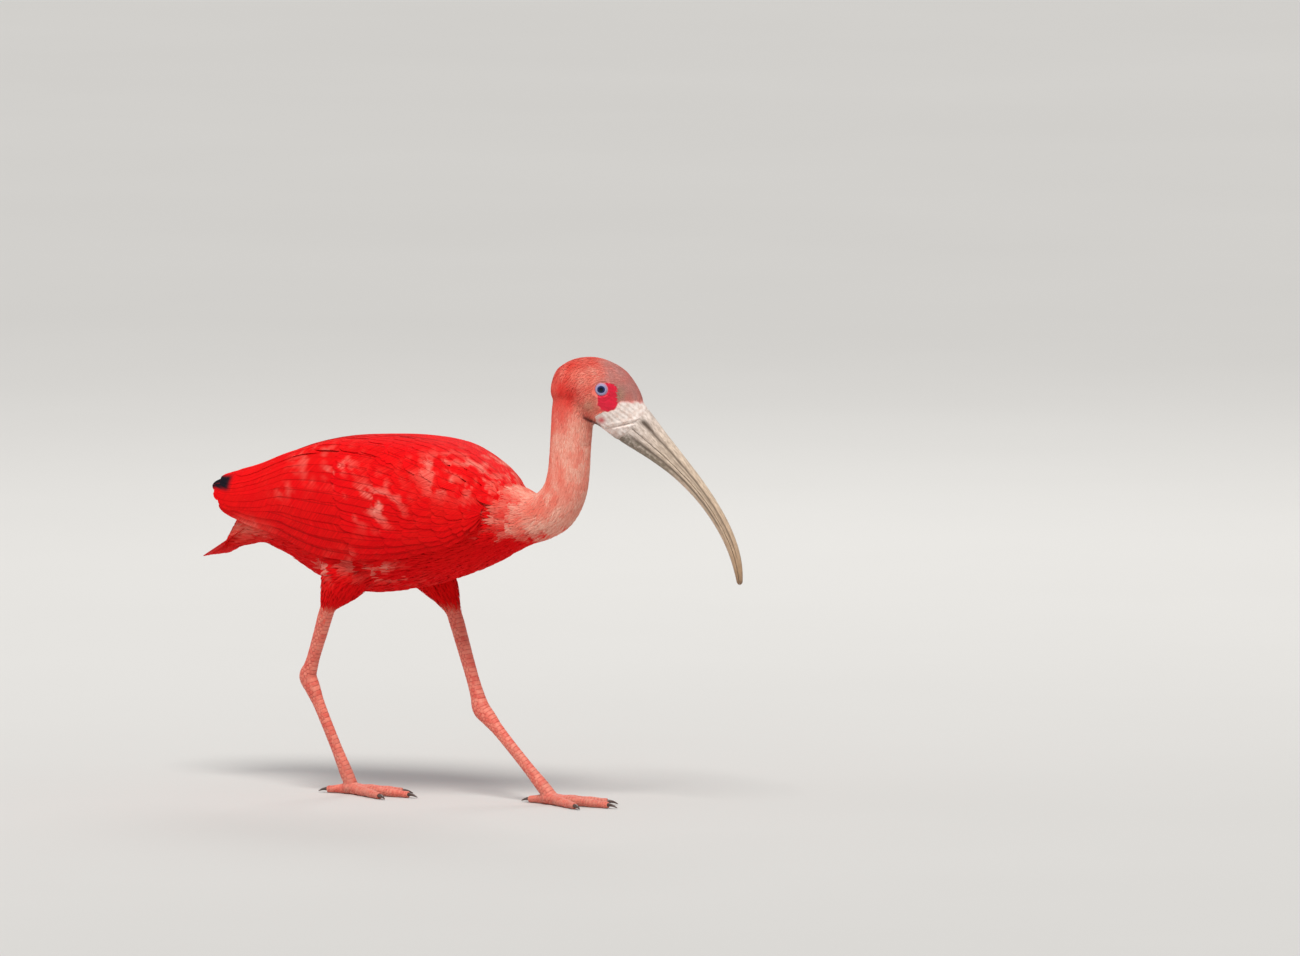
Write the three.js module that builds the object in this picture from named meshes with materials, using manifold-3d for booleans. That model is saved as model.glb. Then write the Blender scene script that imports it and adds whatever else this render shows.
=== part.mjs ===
import * as THREE from 'three';
import { mergeVertices } from 'three/addons/utils/BufferGeometryUtils.js';
import Module from 'manifold-3d';

// A scarlet ibis in life size, walking with its head turned a little to its left.
// Millimetres. +X is the way the body faces, +Y the bird's left, +Z up, and the floor is Z 0.
// The sizes below are told from a point on the floor near the hips. At the end the whole bird is moved
// so that its origin is on the floor at the middle of its box.

const wasm = await Module();
wasm.setup();

// Driving dimensions

const GAP = 0.3;

// The trunk's profile, from the root of the tail to the root of the neck, as [x, value].
const TRUNK_BACK = [[-158, 211], [-130, 216], [-112, 221], [-90, 230], [-64, 240], [-40, 246.5], [-10, 250.5],
  [17, 252.5], [41, 252.5], [58, 249.5], [74, 243], [88, 233.5], [98, 226]];
const TRUNK_BELLY = [[-158, 186], [-130, 180], [-112, 172], [-85, 162], [-62, 151], [-35, 142.5], [-10, 142],
  [25, 148], [56, 157.5], [85, 169], [98, 176]];
const TRUNK_HALF_WIDTH = [[-158, 10], [-130, 15], [-112, 19], [-90, 26], [-65, 36], [-35, 45], [-5, 50],
  [25, 50], [55, 45], [78, 36], [90, 29], [98, 24.5]];
const TRUNK_END_X = -112;
const TRUNK_STEP = 11.5;
const WIDEST_SHARE = 0.55;
const TRUNK_POWER = 2.25;
const TRUNK_SIDES = 24;

// The neck's rings from the chest up into the head: x, z, pitch of the axis, then the radii.
const NECK_RINGS = [
  { x: 107, z: 203, pitch: 12, up: 21, down: 21.5, side: 20 },
  { x: 117, z: 204, pitch: 24, up: 17, down: 19.5, side: 17.5 },
  { x: 128, z: 210, pitch: 46, up: 15.5, down: 19.5, side: 16.5 },
  { x: 137, z: 221.5, pitch: 68, up: 15, down: 17.5, side: 15.8 },
  { x: 141, z: 235, pitch: 82, up: 15.2, down: 16, side: 15.4 },
  { x: 142.5, z: 250, pitch: 88, up: 15.4, down: 15.6, side: 15 },
  { x: 144, z: 266, pitch: 88, up: 16, down: 15.8, side: 15 },
  { x: 145.5, z: 282, pitch: 86, up: 16.4, down: 14, side: 14.5 },
  { x: 147.5, z: 293, pitch: 82, up: 14.5, down: 12, side: 12.5 },
  { x: 150, z: 301, pitch: 78, up: 9, down: 8, side: 8 },
];

// The head, in its own upright plane: s runs forward from the top of the neck, z is the height.
const HEAD_PIVOT_X = 145;
const HEAD_YAW = 28;
const HEAD_RINGS = [
  { s: -11, z: 306.5, pitch: -38, up: 2.5, down: 2.5, side: 2.5 },
  { s: -9, z: 305, pitch: -38, up: 10, down: 10, side: 8.5 },
  { s: -4.2, z: 302, pitch: -38, up: 17.5, down: 18, side: 13.5 },
  { s: 4.2, z: 298.3, pitch: -38, up: 22.3, down: 20, side: 16.4 },
  { s: 13.3, z: 293.7, pitch: -38, up: 24, down: 20.5, side: 17.2 },
  { s: 21.8, z: 288.3, pitch: -38, up: 24.2, down: 20.5, side: 16.6 },
  { s: 28.5, z: 282.4, pitch: -39, up: 22.8, down: 19, side: 14.4 },
  { s: 34.2, z: 276.7, pitch: -41, up: 19.6, down: 17.2, side: 11.4 },
];

// The bill: its length along the middle, how steeply it points down, and its half depth and width.
const BILL_START = { s: 38.5, z: 272.2 };
const BILL_LENGTH = 142.5;
const BILL_SLOPE = [[0, 42], [0.25, 43.5], [0.5, 52], [0.75, 65.5], [1, 87]];
const BILL_HALF_DEPTH = [[0, 16], [0.08, 13.8], [0.2, 10.6], [0.35, 7.6], [0.55, 5.5], [0.75, 4.4], [0.9, 3.3], [1, 1.9]];
const BILL_HALF_WIDTH = [[0, 9.6], [0.08, 8.4], [0.2, 6.9], [0.35, 5.7], [0.55, 4.9], [0.75, 4.2], [0.9, 3.3], [1, 1.8]];
const BILL_STEPS = 18;
const MOUTH_HEIGHT = -0.12;
const GAPE = { s: 21.5, z: 266.5 };
const MOUTH_GROOVE = 1;
const NOSTRIL = { along: 0.1, high: 0.52, length: 11, height: 1.8, deep: 2.4 };

const EYE = { s: 19.6, z: 293, side: 12.1, radius: 5.4 };
const LID = { radius: 4.9, tube: 1.1, side: 15.6 };

// The folded wing: x of the wrist and of the end of its plate, its upper and lower edges as angles
// round the trunk, and the plate's thickness.
const WRIST_X = 90;
const WING_PLATE_END_X = -114;
const WING_TOP_ANGLE = [[-152, 84], [-60, 83], [-20, 79], [10, 72], [40, 58], [70, 44], [90, 34]];
const WING_LOW_ANGLE = [[-152, -8], [-120, -20], [-60, -26], [-20, -28], [20, -32], [60, -30], [90, -20]];
const WING_THICKNESS = [[-152, 2.6], [-110, 2.8], [-60, 3.2], [0, 3.8], [60, 4.4], [90, 4.6]];
const WING_EDGE_SHARE = 0.55;
const WRIST_ROUND = 26;
const WING_STEP = 20;
const WING_COLUMNS = 6;

// The wing's feathers in tiers. Each tier has its roots at one x, and its tips at the x of its lowest,
// middle and highest feather. Low and high are shares of the wing's height, and rise is how far a tip
// stands off the plate. A vane clears the plate and its neighbours, and joins them only at its root.
// A vane's width is its tier's spacing times the overlap.
const WING_TIERS = [
  { count: 9, low: 0.06, high: 0.93, rootX: 12, tipX: [-116, -140, -138], rise: 1.75, rows: 5 },
  { count: 9, low: 0.08, high: 0.78, rootX: 44, tipX: [-12, -24, -28], rise: 4.3, rows: 3 },
  { count: 8, low: 0.1, high: 0.8, rootX: 66, tipX: [30, 22, 18], rise: 4.5, rows: 3 },
  { count: 4, low: 0.86, high: 0.96, rootX: 42, tipX: [-50, -66, -86], rise: 3.4, rows: 4 },
];
const OVERLAP = 1.5;
const VANE = { thick: 0.65, tilt: 0.72, sink: 1.1, hover: 1.75, riseLength: 26 };
const VANE_SHAPE = [[0, 0.5], [0.3, 0.95], [0.6, 1], [0.85, 0.85], [1, 0.4]];

// The primaries pass the ends of the others, overlap enough to be one piece, and have black tips.
const PRIMARIES = { count: 5, low: 0.6, high: 0.94, rootX: -98, tipX: [-141, -147, -152], width: 7 };
const PRIMARY_VANE = { thick: 1, tilt: 0.3, lift: 1.6 };
const BLACK_TIP_X = -139;

// The tail: its root, the way it points, and its length. Its feathers lie in a nested stack on each
// side, the middle pair on top.
const TAIL_ROOT = { x: TRUNK_END_X, z: 192 };
const TAIL_SLOPE = 32;
const TAIL_LENGTH = 60;
const TAIL_PLATE_SHARE = 0.42;
const RECTRIX = { count: 6, level: 1, thick: 0.65, inner: 0.35, width: 8.5, spread: 1.9, rows: 3 };
const TAIL_VANE_SHAPE = [[0, 0.7], [0.3, 0.92], [0.7, 1], [0.9, 0.85], [1, 0.5]];

// The legs. Each has its hip, the end of its feathers, its ankle and its foot.
const LEGS = {
  left: {
    side: 1,
    thigh: [
      { at: [-12, 26, 186], deep: 27, across: 12 },
      { at: [0, 28.5, 166], deep: 22, across: 14.5 },
      { at: [12, 29, 151], deep: 16.5, across: 12.5 },
      { at: [21, 28.5, 139], deep: 11, across: 9.5 },
      { at: [27, 27.5, 129], deep: 7.4, across: 6.8 },
    ],
    ankle: [55, 20, 63],
    foot: [117, 14, 0],
  },
  right: {
    side: -1,
    thigh: [
      { at: [-14, -26, 184], deep: 28, across: 12 },
      { at: [-22, -29, 166], deep: 25, across: 14.5 },
      { at: [-29, -29.5, 152], deep: 19, across: 13 },
      { at: [-36.5, -29, 141], deep: 12, across: 10 },
      { at: [-42, -27.5, 133], deep: 7.4, across: 7 },
    ],
    ankle: [-66, -17, 82],
    foot: [-36, -7, 0],
  },
};
const SHANK_RADIUS = [5.4, 4.6];
const ANKLE_RADIUS = 6.4;
const TARSUS_RADIUS = [5.2, 4.1, 4.6];
const FOOT_HEIGHT = 5.5;
const FOOT_RADIUS = 6.5;
const FOOT_REACH = 15;
const TOES = {
  middle: { angle: 0, length: 48 },
  inner: { angle: -29, length: 36 },
  outer: { angle: 27, length: 40 },
  hind: { angle: 174, length: 19 },
};
const TOE_RADIUS = [4.1, 2.5];
const TOE_BUMPS = 3;
const CLAW_LENGTH = 7.5;
const WEB_THICKNESS = 1.5;

// Materials

const finish = (colour, roughness) =>
  new THREE.MeshStandardMaterial({ color: colour, roughness, metalness: 0 });
const scarlet = finish(0xd8120c, 0.8);
const salmon = finish(0xe2604a, 0.85);
const bareLeg = finish(0xd0655c, 0.6);
const horn = finish(0xc39a70, 0.45);
const clawHorn = finish(0x4a3430, 0.4);
const eyeDark = finish(0x16141c, 0.1);
const blackPlume = finish(0x15131a, 0.7);

// Geometry helpers

const rad = THREE.MathUtils.degToRad;

// Small differences between like feathers, the same on every run.
let draw = 7;
function vary(size) {
  draw = (draw * 16807) % 2147483647;
  return size * ((2 * draw) / 2147483647 - 1);
}
const vec = (x, y, z) => new THREE.Vector3(x, y, z);

// A smooth curve through [x, value] points.
function profile(points) {
  const last = points.length - 1;
  const slope = (k) => {
    const before = points[Math.max(k - 1, 0)];
    const after = points[Math.min(k + 1, last)];
    return (after[1] - before[1]) / (after[0] - before[0]);
  };
  return (x) => {
    let i = 0;
    while (i < last - 1 && x > points[i + 1][0]) i += 1;
    const [x0, y0] = points[i];
    const [x1, y1] = points[i + 1];
    const width = x1 - x0;
    const t = THREE.MathUtils.clamp((x - x0) / width, 0, 1);
    const u = 1 - t;
    const ends = y0 * u * u * (1 + 2 * t) + y1 * t * t * (3 - 2 * t);
    return ends + width * t * u * (slope(i) * u - slope(i + 1) * t);
  };
}

// A closed surface from triangles, as a solid whose faces point out.
function solid(geometry) {
  const bare = geometry.clone();
  bare.deleteAttribute('normal');
  bare.deleteAttribute('uv');
  const merged = mergeVertices(bare, 1e-4);
  const make = (triVerts) => new wasm.Manifold(new wasm.Mesh({
    numProp: 3,
    vertProperties: Float32Array.from(merged.attributes.position.array),
    triVerts: Uint32Array.from(triVerts),
  }));
  const made = make(merged.index.array);
  return made.volume() > 0 ? made : make(Array.from(merged.index.array).reverse());
}

// A closed skin over rings with the same number of points, with a fan at each end.
function loft(rings) {
  const count = rings[0].length;
  const points = rings.flat();
  const index = [];
  for (let i = 0; i < rings.length - 1; i += 1) {
    for (let k = 0; k < count; k += 1) {
      const a = i * count + k;
      const b = i * count + ((k + 1) % count);
      index.push(a, b, b + count, a, b + count, a + count);
    }
  }
  for (const end of [0, rings.length - 1]) {
    const centre = points.length;
    const sum = rings[end].reduce((total, p) => total.add(p), vec(0, 0, 0));
    points.push(sum.divideScalar(count));
    for (let k = 0; k < count; k += 1) {
      const a = end * count + k;
      const b = end * count + ((k + 1) % count);
      index.push(...(end === 0 ? [centre, b, a] : [centre, a, b]));
    }
  }
  const geometry = new THREE.BufferGeometry().setFromPoints(points);
  geometry.setIndex(index);
  return solid(geometry);
}

// A point of a rounded section, as its distances across and up from the middle.
function onSection(angle, side, up, down, power = 2) {
  const bend = (value) => Math.sign(value) * Math.abs(value) ** (2 / power);
  const rise = Math.sin(angle);
  return { across: side * bend(Math.cos(angle)), rise: (rise > 0 ? up : down) * bend(rise) };
}

const turns = (count) => Array.from({ length: count }, (_, k) => (2 * Math.PI * k) / count);

// A ring across a path in the plane of X and Z.
function pitchedRing({ x, z, pitch, up, down, side }, sides, power, grow = 0) {
  const tilt = rad(pitch);
  return turns(sides).map((angle) => {
    const { across, rise } = onSection(angle, side + grow, up + grow, down + grow, power);
    return vec(x - rise * Math.sin(tilt), across, z + rise * Math.cos(tilt));
  });
}

// A tube with a radius at each point, flattened where it would pass below floor.
function tube(stations, sides, reference, floor = -Infinity) {
  const rings = stations.map(({ at, deep, across }, i) => {
    const before = stations[Math.max(i - 1, 0)].at;
    const after = stations[Math.min(i + 1, stations.length - 1)].at;
    const along = after.clone().sub(before).normalize();
    const sideways = reference.clone().addScaledVector(along, -reference.dot(along)).normalize();
    const other = along.clone().cross(sideways);
    return turns(sides).map((angle) => {
      const p = at.clone().addScaledVector(sideways, across * Math.cos(angle));
      p.addScaledVector(other, deep * Math.sin(angle));
      p.z = Math.max(p.z, floor);
      return p;
    });
  });
  return loft(rings);
}

// Everything on the side of a plane that its normal points to.
function beyond(point, normal, gap = GAP) {
  const size = 900;
  const box = new THREE.BoxGeometry(size, size, size);
  box.translate(0, 0, size / 2 + gap / 2);
  const turn = new THREE.Quaternion().setFromUnitVectors(vec(0, 0, 1), normal.clone().normalize());
  box.applyQuaternion(turn);
  box.translate(point.x, point.y, point.z);
  return solid(box);
}

const cut = (whole, point, normal) => [
  whole.intersect(beyond(point, normal.clone().negate())),
  whole.intersect(beyond(point, normal)),
];

const join = (solids) => solids.reduce((whole, piece) => whole.add(piece));

function largest(whole) {
  return whole.decompose().sort((a, b) => b.volume() - a.volume())[0];
}

const ibis = new THREE.Group();

function addPart(name, whole, material) {
  const { vertProperties, triVerts } = largest(whole).getMesh();
  const geometry = new THREE.BufferGeometry();
  geometry.setAttribute('position', new THREE.BufferAttribute(Float32Array.from(vertProperties), 3));
  geometry.setIndex(new THREE.BufferAttribute(Uint32Array.from(triVerts), 1));
  geometry.computeVertexNormals();
  const mesh = new THREE.Mesh(geometry, material);
  mesh.name = name;
  ibis.add(mesh);
}

// Trunk

const trunkBack = profile(TRUNK_BACK);
const trunkBelly = profile(TRUNK_BELLY);
const trunkHalfWidth = profile(TRUNK_HALF_WIDTH);

function trunkSection(x) {
  const height = trunkBack(x) - trunkBelly(x);
  const middle = trunkBelly(x) + height * WIDEST_SHARE;
  return { x, z: middle, pitch: 0, side: trunkHalfWidth(x), up: trunkBack(x) - middle, down: middle - trunkBelly(x) };
}

// A point on the trunk, or at a height above it, by its angle round the trunk from the side.
function onTrunk(x, angle, lift = 0) {
  const section = trunkSection(x);
  const place = (turn) => {
    const { across, rise } = onSection(turn, section.side, section.up, section.down, TRUNK_POWER);
    return vec(x, across, section.z + rise);
  };
  const step = rad(2);
  const along = place(rad(angle) + step).sub(place(rad(angle) - step)).normalize();
  return place(rad(angle)).add(vec(0, along.z, -along.y).multiplyScalar(lift));
}

const trunkStations = [];
for (let x = TRUNK_END_X; x < TRUNK_BACK.at(-1)[0]; x += TRUNK_STEP) {
  trunkStations.push(trunkSection(x));
}
const trunkSolid = (grow) => loft(
  [...trunkStations, ...NECK_RINGS].map((ring) => pitchedRing(ring, TRUNK_SIDES, TRUNK_POWER, grow)),
);

// Head and bill, built in the head's own plane and then turned

function turnHead(whole) {
  const turn = new THREE.Matrix4().makeRotationZ(rad(HEAD_YAW));
  turn.setPosition(HEAD_PIVOT_X, 0, 0);
  return whole.transform(turn.toArray());
}

const billSlope = profile(BILL_SLOPE);
const billHalfDepth = profile(BILL_HALF_DEPTH);
const billHalfWidth = profile(BILL_HALF_WIDTH);

// The middle of the bill at a share of its length.
function billPath(share) {
  const steps = 40;
  let { s, z } = BILL_START;
  for (let i = 0; i < steps; i += 1) {
    const slope = rad(billSlope((share * (i + 0.5)) / steps));
    s += ((BILL_LENGTH * share) / steps) * Math.cos(slope);
    z -= ((BILL_LENGTH * share) / steps) * Math.sin(slope);
  }
  return { x: s, z, pitch: -billSlope(share) };
}

function billRing(share) {
  const depth = billHalfDepth(share);
  return { ...billPath(share), up: depth, down: depth, side: billHalfWidth(share) };
}

function pointOnBill(share, high, across) {
  const { x, z, pitch, up } = billRing(share);
  const tilt = rad(pitch);
  return vec(x - high * up * Math.sin(tilt), across, z + high * up * Math.cos(tilt));
}

const headSides = 20;
const headRings = HEAD_RINGS.map(({ s, ...ring }) => pitchedRing({ x: s, ...ring }, headSides, 2.1));
const billShares = Array.from({ length: BILL_STEPS + 1 }, (_, i) => (i / BILL_STEPS) ** 1.1);
const billRings = billShares.map((share) => pitchedRing(billRing(share), headSides, 2.1));
const headAndBill = loft([...headRings, ...billRings]);
const billRoot = vec(BILL_START.s, 0, BILL_START.z);
const billWay = vec(Math.cos(rad(billSlope(0))), 0, -Math.sin(rad(billSlope(0))));
const [skull, bill] = cut(headAndBill, billRoot, billWay);

// The line of the mouth is a thin gap that follows the bill, and two grooves back to the gape.
function mouthRing(share) {
  const path = billRing(Math.max(share, 0));
  const half = GAP / 2;
  const middle = pointOnBill(Math.max(share, 0), MOUTH_HEIGHT, 0);
  const width = 14;
  const tilt = rad(path.pitch);
  const lift = vec(-Math.sin(tilt), 0, Math.cos(tilt)).multiplyScalar(half);
  const back = billWay.clone().multiplyScalar(Math.min(share, 0) * BILL_LENGTH);
  return [[-width, -1], [width, -1], [width, 1], [-width, 1]].map(
    ([y, end]) => middle.clone().add(back).addScaledVector(lift, end).add(vec(0, y, 0)),
  );
}
const mouthGap = loft([-0.05, ...billShares, 1.04].map((share) => mouthRing(share)));
const jaws = bill.subtract(mouthGap).decompose().sort((a, b) => b.volume() - a.volume()).slice(0, 2);
const heightOf = (whole) => whole.boundingBox().max[2];
jaws.sort((a, b) => heightOf(b) - heightOf(a));

function nostril(side) {
  const box = new THREE.SphereGeometry(0.5, 10, 6);
  box.scale(NOSTRIL.length, NOSTRIL.deep, NOSTRIL.height);
  box.rotateY(rad(billSlope(NOSTRIL.along) - 4));
  const at = pointOnBill(NOSTRIL.along, NOSTRIL.high, side * billHalfWidth(NOSTRIL.along) * 0.86);
  box.translate(at.x, at.y, at.z);
  return solid(box);
}

function mouthGroove(side) {
  const front = pointOnBill(0, MOUTH_HEIGHT, 0);
  const back = vec(GAPE.s, 0, GAPE.z);
  const stations = [[0, 9.2, 1], [0.35, 10.8, 1], [0.7, 12.2, 0.9], [1, 13.6, 0.35]].map(([share, y, size]) => ({
    at: front.clone().lerp(back, share).setY(side * (y + 3)),
    across: 4,
    deep: MOUTH_GROOVE * size,
  }));
  stations[0].at.add(billWay.clone().multiplyScalar(2));
  return tube(stations, 6, vec(0, 1, 0));
}

function eyeball(side, grow = 0) {
  const ball = new THREE.SphereGeometry(EYE.radius + grow, 14, 9);
  ball.rotateX(Math.PI / 2);
  ball.translate(EYE.s, side * EYE.side, EYE.z);
  return solid(ball);
}

function lids(side) {
  const ring = new THREE.TorusGeometry(LID.radius, LID.tube, 5, 16);
  ring.rotateX(Math.PI / 2);
  ring.translate(EYE.s, side * LID.side, EYE.z);
  return solid(ring);
}

const headTools = [mouthGroove(1), mouthGroove(-1)];
const face = skull.subtract(join(headTools));
const upperJaw = jaws[0].subtract(join([nostril(1), nostril(-1)]));

// The trunk, neck and head are one body, parted by thin cuts

const headOnNeck = trunkSolid(0).add(turnHead(face));
const neckRoot = NECK_RINGS[0];
const neckHalf = NECK_RINGS[3];
const neckTop = NECK_RINGS[6];
const ringPoint = ({ x, z }) => vec(x, 0, z);
const ringWay = ({ pitch }) => vec(Math.cos(rad(pitch)), 0, Math.sin(rad(pitch)));
const [torso, aboveTorso] = cut(headOnNeck, ringPoint(neckRoot), ringWay(neckRoot));
const [lowerNeck, aboveHalf] = cut(aboveTorso, ringPoint(neckHalf), ringWay(neckHalf));
const [upperNeck, headWhole] = cut(aboveHalf, ringPoint(neckTop), ringWay(neckTop));
const head = headWhole
  .add(turnHead(join([lids(1), lids(-1)])))
  .subtract(turnHead(join([eyeball(1, GAP), eyeball(-1, GAP)])));

addPart('head', head, salmon);
addPart('bill_upper', turnHead(upperJaw), horn);
addPart('bill_lower', turnHead(jaws[1]), horn);
addPart('eye_left', turnHead(eyeball(1)), eyeDark);
addPart('eye_right', turnHead(eyeball(-1)), eyeDark);
addPart('neck_upper', upperNeck, salmon);
addPart('neck_lower', lowerNeck, salmon);
addPart('torso', torso, scarlet);

// Wings

const wingTopAngle = profile(WING_TOP_ANGLE);
const wingLowAngle = profile(WING_LOW_ANGLE);
const wingThickness = profile(WING_THICKNESS);
const vaneShape = profile(VANE_SHAPE);
const trunkRoom = trunkSolid(GAP * 1.2);

// The wing's front is rounded, so its edges close in on their middle near the wrist.
function wingAngle(x, share) {
  const middle = (wingTopAngle(x) + wingLowAngle(x)) / 2;
  const half = (wingTopAngle(x) - wingLowAngle(x)) / 2;
  const toFront = Math.min((WRIST_X - x) / WRIST_ROUND, 1);
  const closing = Math.sqrt(Math.max(1 - (1 - toFront) ** 2, 0.02));
  return middle + half * closing * (2 * share - 1);
}

// A plate over a grid of places, the same triangles on both of its faces.
function plate(rows, columns, outer, inner) {
  const points = [];
  const index = [];
  for (const face of [outer, inner]) {
    for (let i = 0; i <= rows; i += 1) {
      for (let k = 0; k <= columns; k += 1) points.push(face(i / rows, k / columns));
    }
  }
  const width = columns + 1;
  const under = (rows + 1) * width;
  const quad = (a, b, c, d) => index.push(a, b, c, a, c, d);
  for (let i = 0; i < rows; i += 1) {
    for (let k = 0; k < columns; k += 1) {
      const a = i * width + k;
      quad(a, a + 1, a + 1 + width, a + width);
      index.push(under + a, under + a + 1 + width, under + a + 1);
      index.push(under + a, under + a + width, under + a + 1 + width);
    }
    const a = i * width;
    quad(a, a + width, under + a + width, under + a);
    quad(a + columns + width, a + columns, under + a + columns, under + a + columns + width);
  }
  for (let k = 0; k < columns; k += 1) {
    quad(k + 1, k, under + k, under + k + 1);
    const a = rows * width + k;
    quad(a, a + 1, under + a + 1, under + a);
  }
  const geometry = new THREE.BufferGeometry().setFromPoints(points);
  geometry.setIndex(index);
  return solid(geometry);
}

function plateLift(x, share) {
  const ramp = THREE.MathUtils.lerp(WING_EDGE_SHARE, 1, THREE.MathUtils.clamp(share * 6, 0, 1));
  return wingThickness(x) * ramp;
}

function wingCore(side, grow = 0) {
  const rows = Math.round((WRIST_X - WING_PLATE_END_X) / WING_STEP);
  const place = (i, k, lift) => {
    const x = THREE.MathUtils.lerp(WRIST_X - 0.5, WING_PLATE_END_X, i);
    const point = onTrunk(x, wingAngle(x, k) + grow * (k - 0.5) * 3, lift(x, k));
    point.y *= side;
    return point;
  };
  const outer = (x, k) => grow + plateLift(x, k);
  const inner = (x) => (x > TRUNK_END_X ? -1 : GAP * 1.5) - grow;
  return plate(rows, WING_COLUMNS, (i, k) => place(i, k, outer), (i, k) => place(i, k, inner));
}

// Millimetres round the trunk for one degree of angle.
function degreeLength(x, angle) {
  return onTrunk(x, angle + 1).distanceTo(onTrunk(x, angle - 1)) / 2;
}

// One feather of the wing, with its lower edge over its neighbour. Lift is its height off the trunk.
function wingVane(side, { rootX, tipX, share, widthAt, rows, lift, thick, tilt }) {
  const face = (depth) => (q, across) => {
    const x = THREE.MathUtils.lerp(rootX, tipX, q);
    const spread = 2 * across - 1;
    const angle = wingAngle(x, share);
    const reach = (spread * widthAt(x) * vaneShape(q)) / 2;
    const point = onTrunk(x, angle + reach / degreeLength(x, angle), lift(x) - tilt * spread - depth);
    point.y = side * Math.max(point.y, GAP);
    return point;
  };
  return plate(rows, 2, face(0), face(thick));
}

function tierTips({ tipX: [low, middle, high] }) {
  return profile([[0, low], [0.5, middle], [1, high]]);
}

function wingTier(side, tier) {
  const tipAt = tierTips(tier);
  const reach = tier.rootX - tier.tipX[1];
  const widthAt = (x) => {
    const height = (wingAngle(x, 1) - wingAngle(x, 0)) * degreeLength(x, wingAngle(x, 0.5));
    return (OVERLAP * height * (tier.high - tier.low)) / (tier.count - 1);
  };
  return Array.from({ length: tier.count }, (_, i) => {
    const place = i / (tier.count - 1);
    const share = THREE.MathUtils.lerp(tier.low, tier.high, place);
    const lift = (x) => {
      const fromRoot = tier.rootX - x;
      const up = THREE.MathUtils.smoothstep(fromRoot, 0, Math.min(VANE.riseLength, reach * 0.5));
      const further = Math.max(0, (fromRoot - reach * 0.3) / (reach * 0.7));
      return plateLift(x, share) - VANE.sink + (VANE.sink + VANE.hover) * up
        + (tier.rise - VANE.hover) * Math.min(further, 1);
    };
    return wingVane(side, {
      rootX: tier.rootX,
      tipX: tipAt(place) + vary(1.5),
      share,
      widthAt,
      rows: tier.rows,
      lift,
      thick: VANE.thick,
      tilt: VANE.tilt,
    });
  });
}

function primaries(side) {
  const tipAt = tierTips(PRIMARIES);
  return join(Array.from({ length: PRIMARIES.count }, (_, i) => {
    const place = i / (PRIMARIES.count - 1);
    return wingVane(side, {
      rootX: PRIMARIES.rootX,
      tipX: tipAt(place),
      share: THREE.MathUtils.lerp(PRIMARIES.low, PRIMARIES.high, place),
      widthAt: () => PRIMARIES.width,
      rows: 3,
      lift: () => PRIMARY_VANE.lift,
      thick: PRIMARY_VANE.thick,
      tilt: PRIMARY_VANE.tilt,
    });
  }));
}

for (const [name, side] of [['left', 1], ['right', -1]]) {
  const [black, red] = cut(primaries(side), vec(BLACK_TIP_X, 0, 0), vec(1, 0, 0));
  const vanes = WING_TIERS.flatMap((tier) => wingTier(side, tier));
  addPart(`wing_${name}`, join([wingCore(side), red, ...vanes]).subtract(trunkRoom), scarlet);
  addPart(`wing_tip_${name}`, black, blackPlume);
}

// Tail

const tailWay = vec(-Math.cos(rad(TAIL_SLOPE)), 0, -Math.sin(rad(TAIL_SLOPE)));
const tailUp = vec(-Math.sin(rad(TAIL_SLOPE)), 0, Math.cos(rad(TAIL_SLOPE)));
const tailStart = vec(TAIL_ROOT.x - GAP, 0, TAIL_ROOT.z);

// A place in the tail by its distance along, across and above its middle plane.
function inTail(along, across, above) {
  const sag = 0.035 * Math.abs(across) ** 1.5;
  return tailStart.clone().addScaledVector(tailWay, along).addScaledVector(tailUp, above - sag)
    .add(vec(0, across, 0));
}

// The tail's root takes over the trunk's last section and thins to a plate that the feathers leave.
const tailRootSection = trunkSection(TAIL_ROOT.x);
function tailPlateRing(share) {
  const shrink = 1 - share;
  const along = TAIL_LENGTH * TAIL_PLATE_SHARE * share;
  const thick = RECTRIX.count * RECTRIX.level * 0.5;
  const flat = RECTRIX.width + RECTRIX.spread * 2;
  return turns(16).map((angle) => {
    const root = onSection(angle, tailRootSection.side, tailRootSection.up, tailRootSection.down, TRUNK_POWER);
    const end = onSection(angle, flat, thick, thick, TRUNK_POWER);
    const first = vec(tailStart.x, root.across, tailRootSection.z + root.rise);
    return first.lerp(inTail(along, end.across, end.rise - thick * 0.6), 1 - shrink ** 1.5);
  });
}
const tailPlate = loft([0, 0.3, 0.6, 0.85, 1].map(tailPlateRing));

const tailVaneShape = profile(TAIL_VANE_SHAPE);
function tailVane(side, level, { from, to, inner, outer, rows, thick }) {
  const face = (depth) => (q, across) => {
    const along = THREE.MathUtils.lerp(from, to, q);
    const edge = THREE.MathUtils.lerp(inner, outer, across);
    const y = inner + (edge - inner) * tailVaneShape(q);
    return inTail(along, side * y, level - depth);
  };
  return plate(rows, 1, face(0), face(thick));
}

const tailVanes = [];
for (const side of [1, -1]) {
  for (let i = 0; i < RECTRIX.count; i += 1) {
    tailVanes.push(tailVane(side, -i * RECTRIX.level, {
      from: 6,
      to: TAIL_LENGTH - i * 1.1 + vary(0.6),
      inner: RECTRIX.inner,
      outer: RECTRIX.width + i * RECTRIX.spread,
      rows: RECTRIX.rows,
      thick: RECTRIX.thick,
    }));
  }
}
addPart('tail', join([tailPlate, ...tailVanes]), scarlet);

// Legs

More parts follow.
